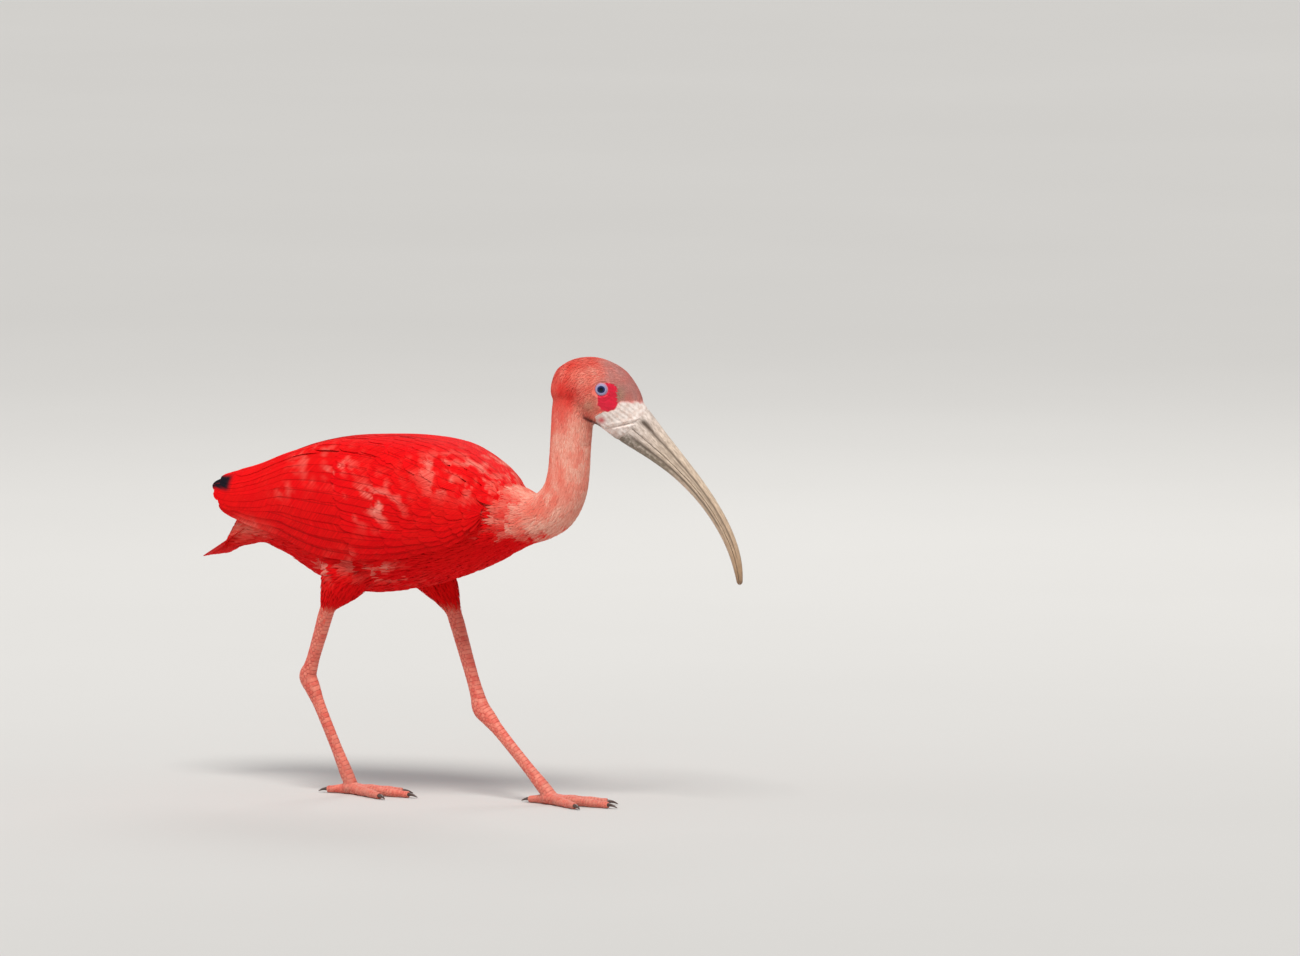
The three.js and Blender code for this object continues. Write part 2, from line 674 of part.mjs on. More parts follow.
function toeSolid(start, way, reach, length) {
  const stations = [];
  const steps = TOE_BUMPS * 2 + 1;
  for (let i = 0; i <= steps; i += 1) {
    const share = i / steps;
    const radius = THREE.MathUtils.lerp(TOE_RADIUS[0], TOE_RADIUS[1], share);
    const pad = i % 2 === 0 ? 0 : 1;
    const at = start.clone().addScaledVector(way, THREE.MathUtils.lerp(reach, length, share));
    at.z = radius * (pad ? 0.86 : 0.98) + (pad ? 0 : 0.15);
    stations.push({ at, deep: radius * (pad ? 1 : 0.88), across: radius * (pad ? 1.05 : 0.9) });
  }
  return tube(stations, 8, vec(0, 0, 1), 0);
}

function clawSolid(start, way, from) {
  const stations = [[0, 1.75, 2.1], [0.4, 1.5, 2.15], [0.75, 0.95, 1.6], [1, 0.3, 0.75]].map(
    ([share, radius, z]) => ({
      at: start.clone().addScaledVector(way, from + 1.5 * GAP + CLAW_LENGTH * share).setZ(z),
      deep: radius,
      across: radius * 0.8,
    }),
  );
  return tube(stations, 6, vec(0, 0, 1), 0.3);
}

function web(start, way, nextWay) {
  const corner = start.clone();
  const a = start.clone().addScaledVector(way, FOOT_REACH);
  const b = start.clone().addScaledVector(nextWay, FOOT_REACH);
  const edge = a.clone().add(b).multiplyScalar(0.5).lerp(corner, 0.25);
  const outline = new THREE.Shape([corner, a, edge, b].map((p) => new THREE.Vector2(p.x, p.y)));
  const slab = new THREE.ExtrudeGeometry(outline, { depth: WEB_THICKNESS, bevelEnabled: false });
  slab.translate(0, 0, WEB_THICKNESS);
  return solid(slab);
}

for (const [name, leg] of Object.entries(LEGS)) {
  const thighStations = leg.thigh.map(({ at, ...size }) => ({ at: vec(...at), ...size }));
  const thighWhole = tube(thighStations, 14, vec(0, 1, 0));
  const thighRoom = trunkRoom.add(wingCore(leg.side, GAP * 1.5));
  addPart(`thigh_${name}`, thighWhole.subtract(thighRoom), scarlet);

  const thighEnd = thighStations.at(-1).at;
  const beforeEnd = thighStations.at(-2).at;
  const thighWay = thighEnd.clone().sub(beforeEnd).normalize();
  const ankle = vec(...leg.ankle);
  const footPoint = vec(...leg.foot);
  const tarsusEnd = footPoint.clone().setZ(FOOT_HEIGHT);
  const station = (from, to, share, radius, flat = 1) => ({
    at: from.clone().lerp(to, share), deep: radius, across: radius * flat,
  });
  const shankTop = thighEnd.clone().addScaledVector(thighWay, -6);
  const limb = tube([
    station(shankTop, shankTop, 0, SHANK_RADIUS[0] * 0.9),
    station(thighEnd, ankle, 0.04, SHANK_RADIUS[0]),
    station(thighEnd, ankle, 0.35, SHANK_RADIUS[0] * 0.94),
    station(thighEnd, ankle, 0.7, SHANK_RADIUS[1]),
    station(thighEnd, ankle, 0.88, SHANK_RADIUS[1] * 1.15),
    station(ankle, ankle, 0, ANKLE_RADIUS, 0.82),
    station(ankle, tarsusEnd, 0.12, TARSUS_RADIUS[0] * 1.08, 0.85),
    station(ankle, tarsusEnd, 0.3, TARSUS_RADIUS[1] * 1.05, 0.85),
    station(ankle, tarsusEnd, 0.65, TARSUS_RADIUS[1], 0.85),
    station(ankle, tarsusEnd, 0.88, TARSUS_RADIUS[2] * 1.02, 0.95),
    station(ankle, tarsusEnd, 1, TARSUS_RADIUS[2], 1),
  ], 12, vec(0, 1, 0));
  const belowThigh = cut(limb, thighEnd, thighWay)[1];
  const shankWay = ankle.clone().sub(thighEnd).normalize();
  const tarsusWay = tarsusEnd.clone().sub(ankle).normalize();
  const [shank, belowAnkle] = cut(belowThigh, ankle, shankWay.clone().add(tarsusWay));
  const footTop = tarsusEnd.clone().addScaledVector(tarsusWay, -FOOT_RADIUS * 1.25);
  const [tarsus, footStub] = cut(belowAnkle, footTop, tarsusWay);
  addPart(`shank_${name}`, shank, bareLeg);
  addPart(`tarsus_${name}`, tarsus, bareLeg);

  const ways = {};
  for (const [toe, { angle }] of Object.entries(TOES)) {
    const turn = rad(angle * leg.side);
    ways[toe] = vec(Math.cos(turn), Math.sin(turn), 0);
  }
  const pad = new THREE.SphereGeometry(FOOT_RADIUS, 12, 7);
  pad.rotateX(Math.PI / 2);
  pad.scale(1.15, 1, 0.8);
  pad.translate(footPoint.x, footPoint.y, FOOT_RADIUS * 0.72);
  const padSolid = solid(pad).intersect(beyond(vec(0, 0, 0), vec(0, 0, 1), 0));
  const footPieces = [footStub, padSolid, web(footPoint, ways.middle, ways.outer), web(footPoint, ways.middle, ways.inner)];
  for (const [toe, { length }] of Object.entries(TOES)) {
    const reach = toe === 'hind' ? FOOT_REACH * 0.6 : FOOT_REACH;
    const whole = toeSolid(footPoint, ways[toe], 1, length);
    const [stub, digit] = cut(whole, footPoint.clone().addScaledVector(ways[toe], reach), ways[toe]);
    footPieces.push(stub);
    addPart(`toe_${toe}_${name}`, digit, bareLeg);
    addPart(`claw_${toe}_${name}`, clawSolid(footPoint, ways[toe], length), clawHorn);
  }
  addPart(`foot_${name}`, join(footPieces), bareLeg);
}

// The origin goes to the middle of the box, on the floor

const box = new THREE.Box3().setFromObject(ibis);
const middle = box.getCenter(vec(0, 0, 0));
ibis.position.set(-middle.x, -middle.y, -box.min.z);

export default ibis;
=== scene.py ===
import math

import bpy
import numpy as np
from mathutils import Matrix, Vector
from mathutils.bvhtree import BVHTree


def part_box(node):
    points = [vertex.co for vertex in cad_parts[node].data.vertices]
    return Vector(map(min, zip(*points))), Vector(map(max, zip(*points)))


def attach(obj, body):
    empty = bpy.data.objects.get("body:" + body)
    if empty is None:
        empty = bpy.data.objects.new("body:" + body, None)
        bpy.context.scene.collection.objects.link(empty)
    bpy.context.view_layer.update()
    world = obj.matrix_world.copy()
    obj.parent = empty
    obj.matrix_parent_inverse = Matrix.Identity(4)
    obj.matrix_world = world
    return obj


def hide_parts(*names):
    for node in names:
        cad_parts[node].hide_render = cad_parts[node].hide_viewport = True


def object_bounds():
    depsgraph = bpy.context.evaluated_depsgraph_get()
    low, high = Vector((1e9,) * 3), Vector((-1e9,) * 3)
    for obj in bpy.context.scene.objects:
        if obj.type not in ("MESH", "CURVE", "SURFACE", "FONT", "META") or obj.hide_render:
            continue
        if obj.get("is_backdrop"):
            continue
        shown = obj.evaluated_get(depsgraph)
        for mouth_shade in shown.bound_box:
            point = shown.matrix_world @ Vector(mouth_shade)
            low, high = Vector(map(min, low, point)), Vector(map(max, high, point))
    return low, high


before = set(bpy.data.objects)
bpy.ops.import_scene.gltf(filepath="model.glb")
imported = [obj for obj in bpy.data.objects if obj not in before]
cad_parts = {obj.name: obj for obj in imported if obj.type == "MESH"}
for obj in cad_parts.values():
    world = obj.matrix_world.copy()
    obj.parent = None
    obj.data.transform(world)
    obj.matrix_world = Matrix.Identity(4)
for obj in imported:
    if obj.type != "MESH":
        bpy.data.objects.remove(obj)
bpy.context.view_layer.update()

# A scarlet ibis in life size, walking with its head turned a little to its left.
# Sizes are in millimetres, told from a point on the floor near the hips. +X is the way the body
# faces, +Y the bird's left, +Z up. The frame's own origin is elsewhere, and the root of the tail
# tells by how much everything moves.

MM = 0.001
TRUNK_END_X = -112.0
torso_low, torso_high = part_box("torso")
SHIFT = np.array([torso_low.x / MM - TRUNK_END_X, (torso_low.y + torso_high.y) / 2 / MM, 0.0])

# Driving dimensions, as in the solids, with the back's line a little nearer to the photo's

TRUNK_BACK = [(-158, 213), (-130, 219), (-112, 224.5), (-90, 233.5), (-64, 243), (-40, 248.5), (-10, 251),
              (17, 252), (41, 251), (58, 246.5), (74, 238.5), (88, 229), (98, 224.5)]
TRUNK_BELLY = [(-158, 186), (-130, 180), (-112, 172), (-85, 162), (-62, 151), (-35, 142.5), (-10, 142),
               (25, 148), (56, 157.5), (85, 169), (98, 176)]
TRUNK_HALF_WIDTH = [(-158, 10), (-130, 15), (-112, 19), (-90, 26), (-65, 36), (-35, 45), (-5, 50),
                    (25, 50), (55, 45), (78, 36), (90, 29), (98, 24.5)]
TRUNK_STEP = 11.5
WIDEST_SHARE = 0.55
TRUNK_POWER = 2.25

# Rings of the neck: x, z, pitch of the axis, radii up, down and to the side
NECK_RINGS = [
    (107, 203, 12, 21, 21.5, 20), (117, 204, 24, 17, 19.5, 17.5), (128, 210, 46, 15.5, 19.5, 16.5),
    (137, 221.5, 68, 15, 17.5, 15.8), (141, 235, 82, 15.2, 16, 15.4), (142.5, 250, 88, 15.4, 15.6, 15),
    (144, 266, 88, 16, 15.8, 15), (145.5, 282, 86, 16.4, 14, 14.5), (147.5, 293, 82, 14.5, 12, 12.5),
    (150, 301, 78, 9, 8, 8),
]

# Rings of the head in its own upright plane, where s runs forward from the top of the neck
HEAD_PIVOT_X = 145
HEAD_YAW = math.radians(28)
HEAD_POWER = 2.1
HEAD_RINGS = [
    (-11, 306.5, -38, 2.5, 2.5, 2.5), (-9, 305, -38, 10, 10, 8.5), (-4.2, 302, -38, 17.5, 18, 13.5),
    (4.2, 298.3, -38, 22.3, 20, 16.4), (13.3, 293.7, -38, 24, 20.5, 17.2),
    (21.8, 288.3, -38, 24.2, 20.5, 16.6), (28.5, 282.4, -39, 22.8, 19, 14.4),
    (34.2, 276.7, -41, 19.6, 17.2, 11.4), (38.5, 272.2, -42, 16, 16, 9.6),
]

BILL_START = (38.5, 272.2)
BILL_LENGTH = 142.5
BILL_SLOPE = [(0, 42), (0.25, 43.5), (0.5, 52), (0.75, 65.5), (1, 87)]
BILL_HALF_DEPTH = [(0, 16), (0.08, 13.8), (0.2, 10.6), (0.35, 7.6), (0.55, 5.5), (0.75, 4.4), (0.9, 3.3),
                   (1, 1.9)]
BILL_HALF_WIDTH = [(0, 9.6), (0.08, 8.4), (0.2, 6.9), (0.35, 5.7), (0.55, 4.9), (0.75, 4.2), (0.9, 3.3),
                   (1, 1.8)]
MOUTH_HEIGHT = -0.12
MOUTH_HALF_GAP = 0.16
GAPE = (21.5, 266.5)

EYE_S, EYE_Z, EYE_SIDE, EYE_RADIUS = 21.0, 294.6, 11.9, 5.4
LID_INNER, LID_OUTER = 2.5, 4.9

WRIST_X = 90
WRIST_ROUND = 26
WING_TOP_ANGLE = [(-152, 84), (-60, 83), (-20, 79), (10, 72), (40, 58), (70, 44), (90, 34)]
WING_LOW_ANGLE = [(-152, -8), (-120, -20), (-60, -26), (-20, -28), (20, -32), (60, -30), (90, -20)]
WING_THICKNESS = [(-152, 2.6), (-110, 2.8), (-60, 3.2), (0, 3.8), (60, 4.4), (90, 4.6)]
BLACK_TIP_X = -131

TAIL_ROOT_Z = 192
TAIL_SLOPE = math.radians(32)
TAIL_LENGTH = 60
TAIL_ROOT_SHARE = 0.62

# Each leg: the thigh's rings (middle, depth, width), then the ankle and the foot
LEGS = {
    "left": dict(side=1, ankle=(55, 20, 63), foot=(117, 14, 0), thigh=[
        (-12, 26, 186, 27, 12), (0, 28.5, 166, 22, 14.5), (12, 29, 151, 16.5, 12.5),
        (21, 28.5, 139, 11, 9.5), (27, 27.5, 129, 7.4, 6.8)]),
    "right": dict(side=-1, ankle=(-66, -17, 82), foot=(-36, -7, 0), thigh=[
        (-14, -26, 184, 28, 12), (-22, -29, 166, 25, 14.5), (-29, -29.5, 152, 19, 13),
        (-36.5, -29, 141, 12, 10), (-42, -27.5, 133, 7.4, 7)]),
}
SIDE_NAMES = {1.0: "left", -1.0: "right"}
SLEEVE_RADIUS = 4.3
SLEEVE_REACHES = (8, 18)
SHANK_RADIUS = (5.4, 4.6)
ANKLE_RADIUS = 6.4
TARSUS_RADIUS = (5.2, 4.1, 4.6)
FOOT_HEIGHT = 5.5
FOOT_REACH = 15
TOES = {"middle": (0, 48), "inner": (-29, 36), "outer": (27, 40), "hind": (174, 19)}
TOE_RADIUS = (4.1, 2.5)
CLAW_LENGTH = 7.5

# How deep the coat lies over the skin, and how far the skin shrinks under the thigh's feathers
COAT_TRUNK = 3.4
COAT_NECK = 2.0
COAT_HEAD = 0.9
COAT_THIGH = 2.6

# The sizes of the cells that close each surface, and how often it is relaxed
SKIN_VOXEL, SKIN_ROUNDS = 1.5, 8
LEG_VOXEL, LEG_ROUNDS = 0.55, 6


# Numbers and shapes

def profile(points):
    """A smooth curve through (x, value) points."""
    xs, ys = np.array(points, float).T
    slopes = np.empty_like(ys)
    slopes[1:-1] = (ys[2:] - ys[:-2]) / (xs[2:] - xs[:-2])
    slopes[0] = (ys[1] - ys[0]) / (xs[1] - xs[0])
    slopes[-1] = (ys[-1] - ys[-2]) / (xs[-1] - xs[-2])

    def value(x):
        x = np.clip(np.asarray(x, float), xs[0], xs[-1])
        i = np.clip(np.searchsorted(xs, x, side="right") - 1, 0, len(xs) - 2)
        width = xs[i + 1] - xs[i]
        t = (x - xs[i]) / width
        u = 1 - t
        ends = ys[i] * u * u * (1 + 2 * t) + ys[i + 1] * t * t * (3 - 2 * t)
        return ends + width * t * u * (slopes[i] * u - slopes[i + 1] * t)

    return value


def step_between(low, high, x):
    """0 at low, 1 at high, smooth between, also where high is the lower number."""
    t = np.clip((np.asarray(x, float) - low) / (high - low), 0, 1)
    return t * t * (3 - 2 * t)


def hill(x, middle, width, power=2):
    """1 in the middle, falling off smoothly by the width to both sides."""
    return np.exp(-(np.abs(x - middle) / width) ** power)


def unit(v):
    return v / np.maximum(np.linalg.norm(v, axis=-1, keepdims=True), 1e-9)


def together(*values):
    """Numbers and arrays of matching shapes as the columns of one array."""
    return np.stack(np.broadcast_arrays(*values), axis=-1)


def round_turn(count):
    return np.arange(count) * 2 * np.pi / count


def value_noise(points, size, seed=0):
    """Smooth random values from -1 to 1 over space, in blobs of the given size."""
    p = np.asarray(points, float) / size + 1000.0
    cell = np.floor(p).astype(np.int64)
    t = p - cell
    t = t * t * (3 - 2 * t)
    total = np.zeros(p.shape[:-1])
    for mouth_shade in range(8):
        offset = np.array([mouth_shade & 1, mouth_shade >> 1 & 1, mouth_shade >> 2 & 1])
        x, y, z = np.moveaxis(cell + offset, -1, 0)
        mixed = x * 73856093 ^ y * 19349663 ^ z * 83492791 ^ (seed * 2654435761 + 97)
        mixed = (mixed ^ (mixed >> 13)) * 1274126177 & 0x7FFFFFFF
        value = (mixed ^ (mixed >> 16)) % 65536 / 32767.5 - 1
        total += value * np.prod(np.where(offset == 1, t, 1 - t), axis=-1)
    return total


def on_section(angle, side, up, down, power):
    """A point of a rounded section: how far across and up from its middle."""
    c, s = np.cos(angle), np.sin(angle)
    across = side * np.sign(c) * np.abs(c) ** (2 / power)
    rise = np.where(s > 0, up, down) * np.sign(s) * np.abs(s) ** (2 / power)
    return across, rise


def smooth_rows(rows, place_columns):
    """The length of a path and its rows as a smooth function of how far along it they lie."""
    rows = np.array(rows, float)
    gaps = np.linalg.norm(np.diff(rows[:, :place_columns], axis=0), axis=1)
    along = np.concatenate([[0], np.cumsum(gaps)])
    columns = [profile(np.stack([along, column], axis=1)) for column in rows.T]
    return along[-1], lambda at: np.stack([column(at) for column in columns], axis=-1)


def fine_rings(rings, step, sides, power, grow):
    """Closer rings along a path in an upright plane. Grow tells how far each stands off its row."""
    length, row_at = smooth_rows(rings, 2)
    made = []
    for row in row_at(np.linspace(0, length, max(int(round(length / step)), 2) + 1)):
        x, z, pitch, up, down, side = row
        more, tilt = grow(row), math.radians(pitch)
        across, rise = on_section(round_turn(sides), side + more, up + more, down + more, power)
        made.append(together(x - rise * math.sin(tilt), across, z + rise * math.cos(tilt)))
    return np.array(made)


def tube_rings(rows, sides, reference, floor=-np.inf):
    """Rings round a path of rows: the middle, the depth and the width."""
    rows = np.asarray(rows, float)
    at = rows[:, None, :3]
    along = unit(np.concatenate([at[1:], at[-1:]]) - np.concatenate([at[:1], at[:-1]]))
    sideways = unit(reference - along * np.sum(along * reference, axis=-1, keepdims=True))
    turn = round_turn(sides)[:, None]
    deep = np.cross(along, sideways) * rows[:, None, 3:4]
    rings = at + sideways * rows[:, None, 4:] * np.cos(turn) + deep * np.sin(turn)
    rings[..., 2] = np.maximum(rings[..., 2], floor)
    return rings


def smooth_path(rows, step):
    """More rows along the same path."""
    length, row_at = smooth_rows(rows, 3)
    return row_at(np.linspace(0, length, max(int(length / step), 2) + 1))


for leg in LEGS.values():
    leg.update({key: np.array(leg[key], float) for key in ("ankle", "foot", "thigh")})
    leg["top"], leg["end"] = leg["thigh"][1, :3], leg["thigh"][-1, :3]
    leg["down"] = unit(leg["end"] - leg["top"])


# Meshes

LEAST_FACING = 0.4
RELAX_FACTOR = 0.5


def make_mesh(name, points, quads=(), triangles=(), material=None, attributes=None, uv=None, normals=None):
    """A mesh object from points in millimetres, moved into the frame."""
    points = np.asarray(points, float).reshape(-1, 3) + SHIFT
    quads = np.asarray(quads, np.int32).reshape(-1, 4)
    triangles = np.asarray(triangles, np.int32).reshape(-1, 3)
    corners = np.concatenate([quads.ravel(), triangles.ravel()])
    starts = np.concatenate([np.arange(len(quads)) * 4, len(quads) * 4 + np.arange(len(triangles)) * 3])
    mesh = bpy.data.meshes.new(name)
    mesh.vertices.add(len(points))
    mesh.vertices.foreach_set("co", (points * MM).astype(np.float32).ravel())
    mesh.loops.add(len(corners))
    mesh.loops.foreach_set("vertex_index", corners)
    mesh.polygons.add(len(starts))
    mesh.polygons.foreach_set("loop_start", starts.astype(np.int32))
    mesh.update(calc_edges=True)
    for key, values in (attributes or {}).items():
        layer = mesh.attributes.new(key, "FLOAT_COLOR", "POINT")
        layer.data.foreach_set("color", np.asarray(values, np.float32).ravel())
    if uv is not None:
        layer = mesh.uv_layers.new(name="OFBake")
        layer.uv.foreach_set("vector", np.asarray(uv, np.float32)[corners].ravel())
    mesh.shade_smooth()
    if normals is not None:
        mesh.normals_split_custom_set(corner_normals(points, (quads, triangles), normals).tolist())
    if material is not None:
        mesh.materials.append(material)
    return linked(name, mesh)


def linked(name, data):
    made = bpy.data.objects.new(name, data)
    bpy.context.scene.collection.objects.link(made)
    return made


def corner_normals(points, face_sets, normals):
    """A direction for each corner of each face: the given one, turned where the face looks another way."""
    normals = np.asarray(normals, float).reshape(-1, 3)
    made = []
    for faces in face_sets:
        ring, given = points[faces], normals[faces]
        face = unit(np.cross(ring[:, 2] - ring[:, 0], ring[:, -1] - ring[:, 1]))[:, None]
        short = np.maximum(LEAST_FACING - np.sum(given * face, axis=-1, keepdims=True), 0)
        made.append(unit(given + face * short).reshape(-1, 3))
    return np.concatenate(made)


def dressed(piece, slot, *replaced):
    """A finished piece rides on the bird's one body and takes the place of the solids it stands for."""
    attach(piece, "root")
    if replaced:
        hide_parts(*replaced)


def loft(rings):
    """Points, quads and end triangles of a closed skin over rings of equal length."""
    rings = np.asarray(rings, float)
    count, sides = rings.shape[:2]
    index = np.arange(count * sides).reshape(count, sides)
    beside = np.roll(index, -1, axis=1)
    quads = np.stack([index[:-1], beside[:-1], beside[1:], index[1:]], axis=-1).reshape(-1, 4)
    points = np.vstack([rings.reshape(-1, 3), rings[0].mean(axis=0), rings[-1].mean(axis=0)])
    first = together(index.size, beside[0], index[0])
    last = together(index.size + 1, index[-1], beside[-1])
    return points, quads, np.vstack([first, last])


def turned_over(quads, triangles):
    return quads[:, ::-1], triangles[:, ::-1]


def merged(parts):
    """Several (points, quads, triangles) as one."""
    starts = np.cumsum([0] + [len(points) for points, _, _ in parts])
    quads = np.vstack([q + at for (_, q, _), at in zip(parts, starts)])
    triangles = np.vstack([t + at for (_, _, t), at in zip(parts, starts)])
    return np.vstack([points for points, _, _ in parts]), quads, triangles


def remeshed(name, parts, voxel, rounds):
    """One closed surface over overlapping closed parts: its points in millimetres and its faces."""
    rough = make_mesh(name + "_rough", *merged(parts))
    remesh = rough.modifiers.new("remesh", "REMESH")
    remesh.mode = "VOXEL"
    remesh.voxel_size = voxel * MM
    relax = rough.modifiers.new("relax", "SMOOTH")
    relax.factor = RELAX_FACTOR
    relax.iterations = rounds
    mesh = bpy.data.meshes.new_from_object(rough.evaluated_get(bpy.context.evaluated_depsgraph_get()))
    bpy.data.objects.remove(rough)
    points = np.empty(len(mesh.vertices) * 3, np.float32)
    mesh.vertices.foreach_get("co", points)
    corners = np.empty(len(mesh.loops), np.int32)
    mesh.loops.foreach_get("vertex_index", corners)
    bpy.data.meshes.remove(mesh)
    return points.reshape(-1, 3) / MM - SHIFT, corners.reshape(-1, 4)


def point_normals(points, quads):
    a, b, c, d = (points[quads[:, k]] for k in range(4))
    face = np.cross(c - a, d - b)
    total = np.zeros_like(points)
    for k in range(4):
        np.add.at(total, quads[:, k], face)
    return unit(total)


# The body's own coordinates

trunk_back = profile(TRUNK_BACK)
trunk_belly = profile(TRUNK_BELLY)
trunk_half_width = profile(TRUNK_HALF_WIDTH)
ANGLE_STEP = 0.035


def trunk_section(x):
    """Middle height and the radii to the side, up and down."""
    low, high = trunk_belly(x), trunk_back(x)
    middle = low + (high - low) * WIDEST_SHARE
    return middle, trunk_half_width(x), high - middle, middle - low


def on_trunk(x, angle, lift=0.0):
    """Points on the left of the trunk, or at a height above it, by their angle in degrees from the side."""
    middle, side, up, down = trunk_section(x)

    def place(turn):
        across, rise = on_section(turn, side, up, down, TRUNK_POWER)
        return together(x, across, middle + rise)

    turn = np.radians(angle)
    along = unit(place(turn + ANGLE_STEP) - place(turn - ANGLE_STEP))
    out = together(0, along[..., 2], -along[..., 1])
    return place(turn) + out * np.asarray(lift, float)[..., None]


def trunk_angle(points):
    """The angle round the trunk, in degrees from the side, whichever side it is."""
    middle, side, up, down = trunk_section(points[:, 0])
    rise = points[:, 2] - middle
    high = rise / np.where(rise > 0, up, down)
    wide = np.abs(points[:, 1]) / side
    half = TRUNK_POWER / 2
    return np.degrees(np.arctan2(np.sign(high) * np.abs(high) ** half, wide ** half))


def from_head(points):
    """From the head's plane (s, side, z) to the body."""
    s, side, z = np.moveaxis(np.asarray(points, float), -1, 0)
    x = HEAD_PIVOT_X + s * math.cos(HEAD_YAW) - side * math.sin(HEAD_YAW)
    return np.stack([x, s * math.sin(HEAD_YAW) + side * math.cos(HEAD_YAW), z], axis=-1)


def to_head(points):
    x, y, z = np.moveaxis(np.asarray(points, float), -1, 0)
    x = x - HEAD_PIVOT_X
    s = x * math.cos(HEAD_YAW) + y * math.sin(HEAD_YAW)
    return np.stack([s, y * math.cos(HEAD_YAW) - x * math.sin(HEAD_YAW), z], axis=-1)


tail_way = np.array([-math.cos(TAIL_SLOPE), 0, -math.sin(TAIL_SLOPE)])
tail_up = np.array([tail_way[2], 0, -tail_way[0]])
tail_start = np.array([TRUNK_END_X, 0, TAIL_ROOT_Z])
TAIL_SAG = 0.035


def in_tail(along, across, above):
    """A place in the tail by its distance along, across and above its middle plane."""
    lift = np.asarray(above - TAIL_SAG * np.abs(across) ** 1.5)[..., None] * tail_up
    return tail_start + np.asarray(along, float)[..., None] * tail_way + lift + together(0, across, 0)


def trunk_ring(x):
    z, side, up, down = trunk_section(x)
    return x, z, 0, up, down, side


BODY_RINGS = [trunk_ring(x) for x in np.arange(TRUNK_END_X, TRUNK_BACK[-1][0], TRUNK_STEP)] + NECK_RINGS
body_length, body_row = smooth_rows(BODY_RINGS, 2)

# Samples of the body's middle line, which tell any point's place along and round it
PATH_SAMPLES = 160
path_at = np.linspace(0, body_length, PATH_SAMPLES)
path_x, path_z, path_pitch = body_row(path_at).T[:3]
path_pitch = np.radians(path_pitch)
path_middle = together(path_x, 0, path_z)
path_up = together(-np.sin(path_pitch), 0, np.cos(path_pitch))


def along_body(points):
    """How far along the body's middle line a point lies, in millimetres, and its angle round it."""
    best = np.full(len(points), np.inf)
    nearest = np.zeros(len(points), int)
    for k in range(PATH_SAMPLES):
        d = np.sum((points - path_middle[k]) ** 2, axis=1)
        closer = d < best
        best[closer] = d[closer]
        nearest[closer] = k
    off = points - path_middle[nearest]
    return path_at[nearest], np.arctan2(np.sum(off * path_up[nearest], axis=1), off[:, 1])


# The unwrap's parts: where each begins in u and v and how far it reaches
BODY_UV, TAIL_U, HEAD_UV = (0.10, 0.60, 0.42, 0.54), 0.07, (0.74, 0.22)
LEG_UV = {1: (0.05, 0.9, 0.05, 0.15), -1: (0.05, 0.9, 0.23, 0.15)}
HEAD_UV_START, HEAD_UV_LENGTH, HEAD_MIDDLE_Z = -14, 62.0, 288
HEAD_UV_LOW_Z, HEAD_UV_LOW_X = 268, 125
LEG_UV_HEIGHT, THIGH_UV_TOP, THIGH_UV_LAP = 175, 160, 18


def unwrap(points):
    """The place of each point on a flat unwrap of the skin: the body, then the head, then the legs."""
    points = np.asarray(points, float)
    x, y, z = points.T
    s, angle = along_body(points)
    left, wide, low, high = BODY_UV
    u = left + wide * s / body_length - TAIL_U * np.clip((TRUNK_END_X - x) / TAIL_LENGTH, 0, 1)
    v = low + high * (angle / (2 * np.pi) + 0.5)
    hs, hy, hz = to_head(points).T
    on_head = (hs > HEAD_UV_START) & (hz > HEAD_UV_LOW_Z) & (x > HEAD_UV_LOW_X)
    u = np.where(on_head, HEAD_UV[0] + HEAD_UV[1] * (hs - HEAD_UV_START) / HEAD_UV_LENGTH, u)
    v = np.where(on_head, low + high * (np.arctan2(hz - HEAD_MIDDLE_Z, hy) / (2 * np.pi) + 0.5), v)
    for leg in LEGS.values():
        mine = (z < THIGH_UV_TOP) & (y * leg["side"] > 0) & (z < trunk_belly(x) + THIGH_UV_LAP)
        share = np.clip(z / LEG_UV_HEIGHT, 0, 1)
        bend = leg["ankle"][2] / LEG_UV_HEIGHT
        below, above = np.clip([share / bend, (share - bend) / (1 - bend)], 0, 1)[..., None]
        middle = leg["foot"] + (leg["ankle"] - leg["foot"]) * below + (leg["top"] - leg["ankle"]) * above
        angle = np.arctan2(y - middle[:, 1], x - middle[:, 0])
        left, wide, low, high = LEG_UV[leg["side"]]
        u = np.where(mine, left + wide * share, u)
        v = np.where(mine, low + high * (angle / (2 * np.pi) + 0.5), v)
    return np.stack([u, v], axis=1)


# Markings, which the skin and the coat share

# Where the bill's pale base begins: height and s on the head's plane
bill_base_edge = profile([(250, 25), (256, 21), (262, 18), (268, 16.2), (273, 15.8), (277, 17.5), (279.2, 24),
                          (281.4, 28.8), (286, 33.5)])

# Spots by their middles and their widths: first those on x and z of the body, then those on s and z of
# the head
SHOULDER_SPOT, YOKE_SPOT, VENT_GLOW_SPOT = (72, 232, 20, 12), (88, 228, 13, 13), (-116, 184, 20, 6)
CHEEK_SPOT, LORE_SPOT, THROAT_SHADE_SPOT = (11.5, 283.5, 6.5, 6), (34.5, 290.5, 3.5, 5), (9, 271, 8, 3.4)
NAPE_SPOT, BILL_SPOT = (1.0, 291, 7.5, 9), (20.5, 272.6, 2.6, 2.2)
# Over the eye, on s + z and s - z
OVER_EYE_SPOT = (326.2, -286.6, 6, 17)
# Pale spots of the trunk and how strong each is
PALE_SPOTS = [
    (-34, 234, 24, 10, 0.75), (20, 211, 18, 13, 0.8), (-30, 162, 12, 6, 0.6), (22, 163, 16, 6, 0.6),
    (-8, 168, 18, 7, 0.35), (58, 238, 14, 8, 0.5), (-66, 214, 14, 7, 0.25),
]
CRIMSON_MIDDLE, CRIMSON_REACH, CRIMSON_POWER = (25.5, 289.2), (7.2, 9.8), 2.7
NECK_REACH = 124


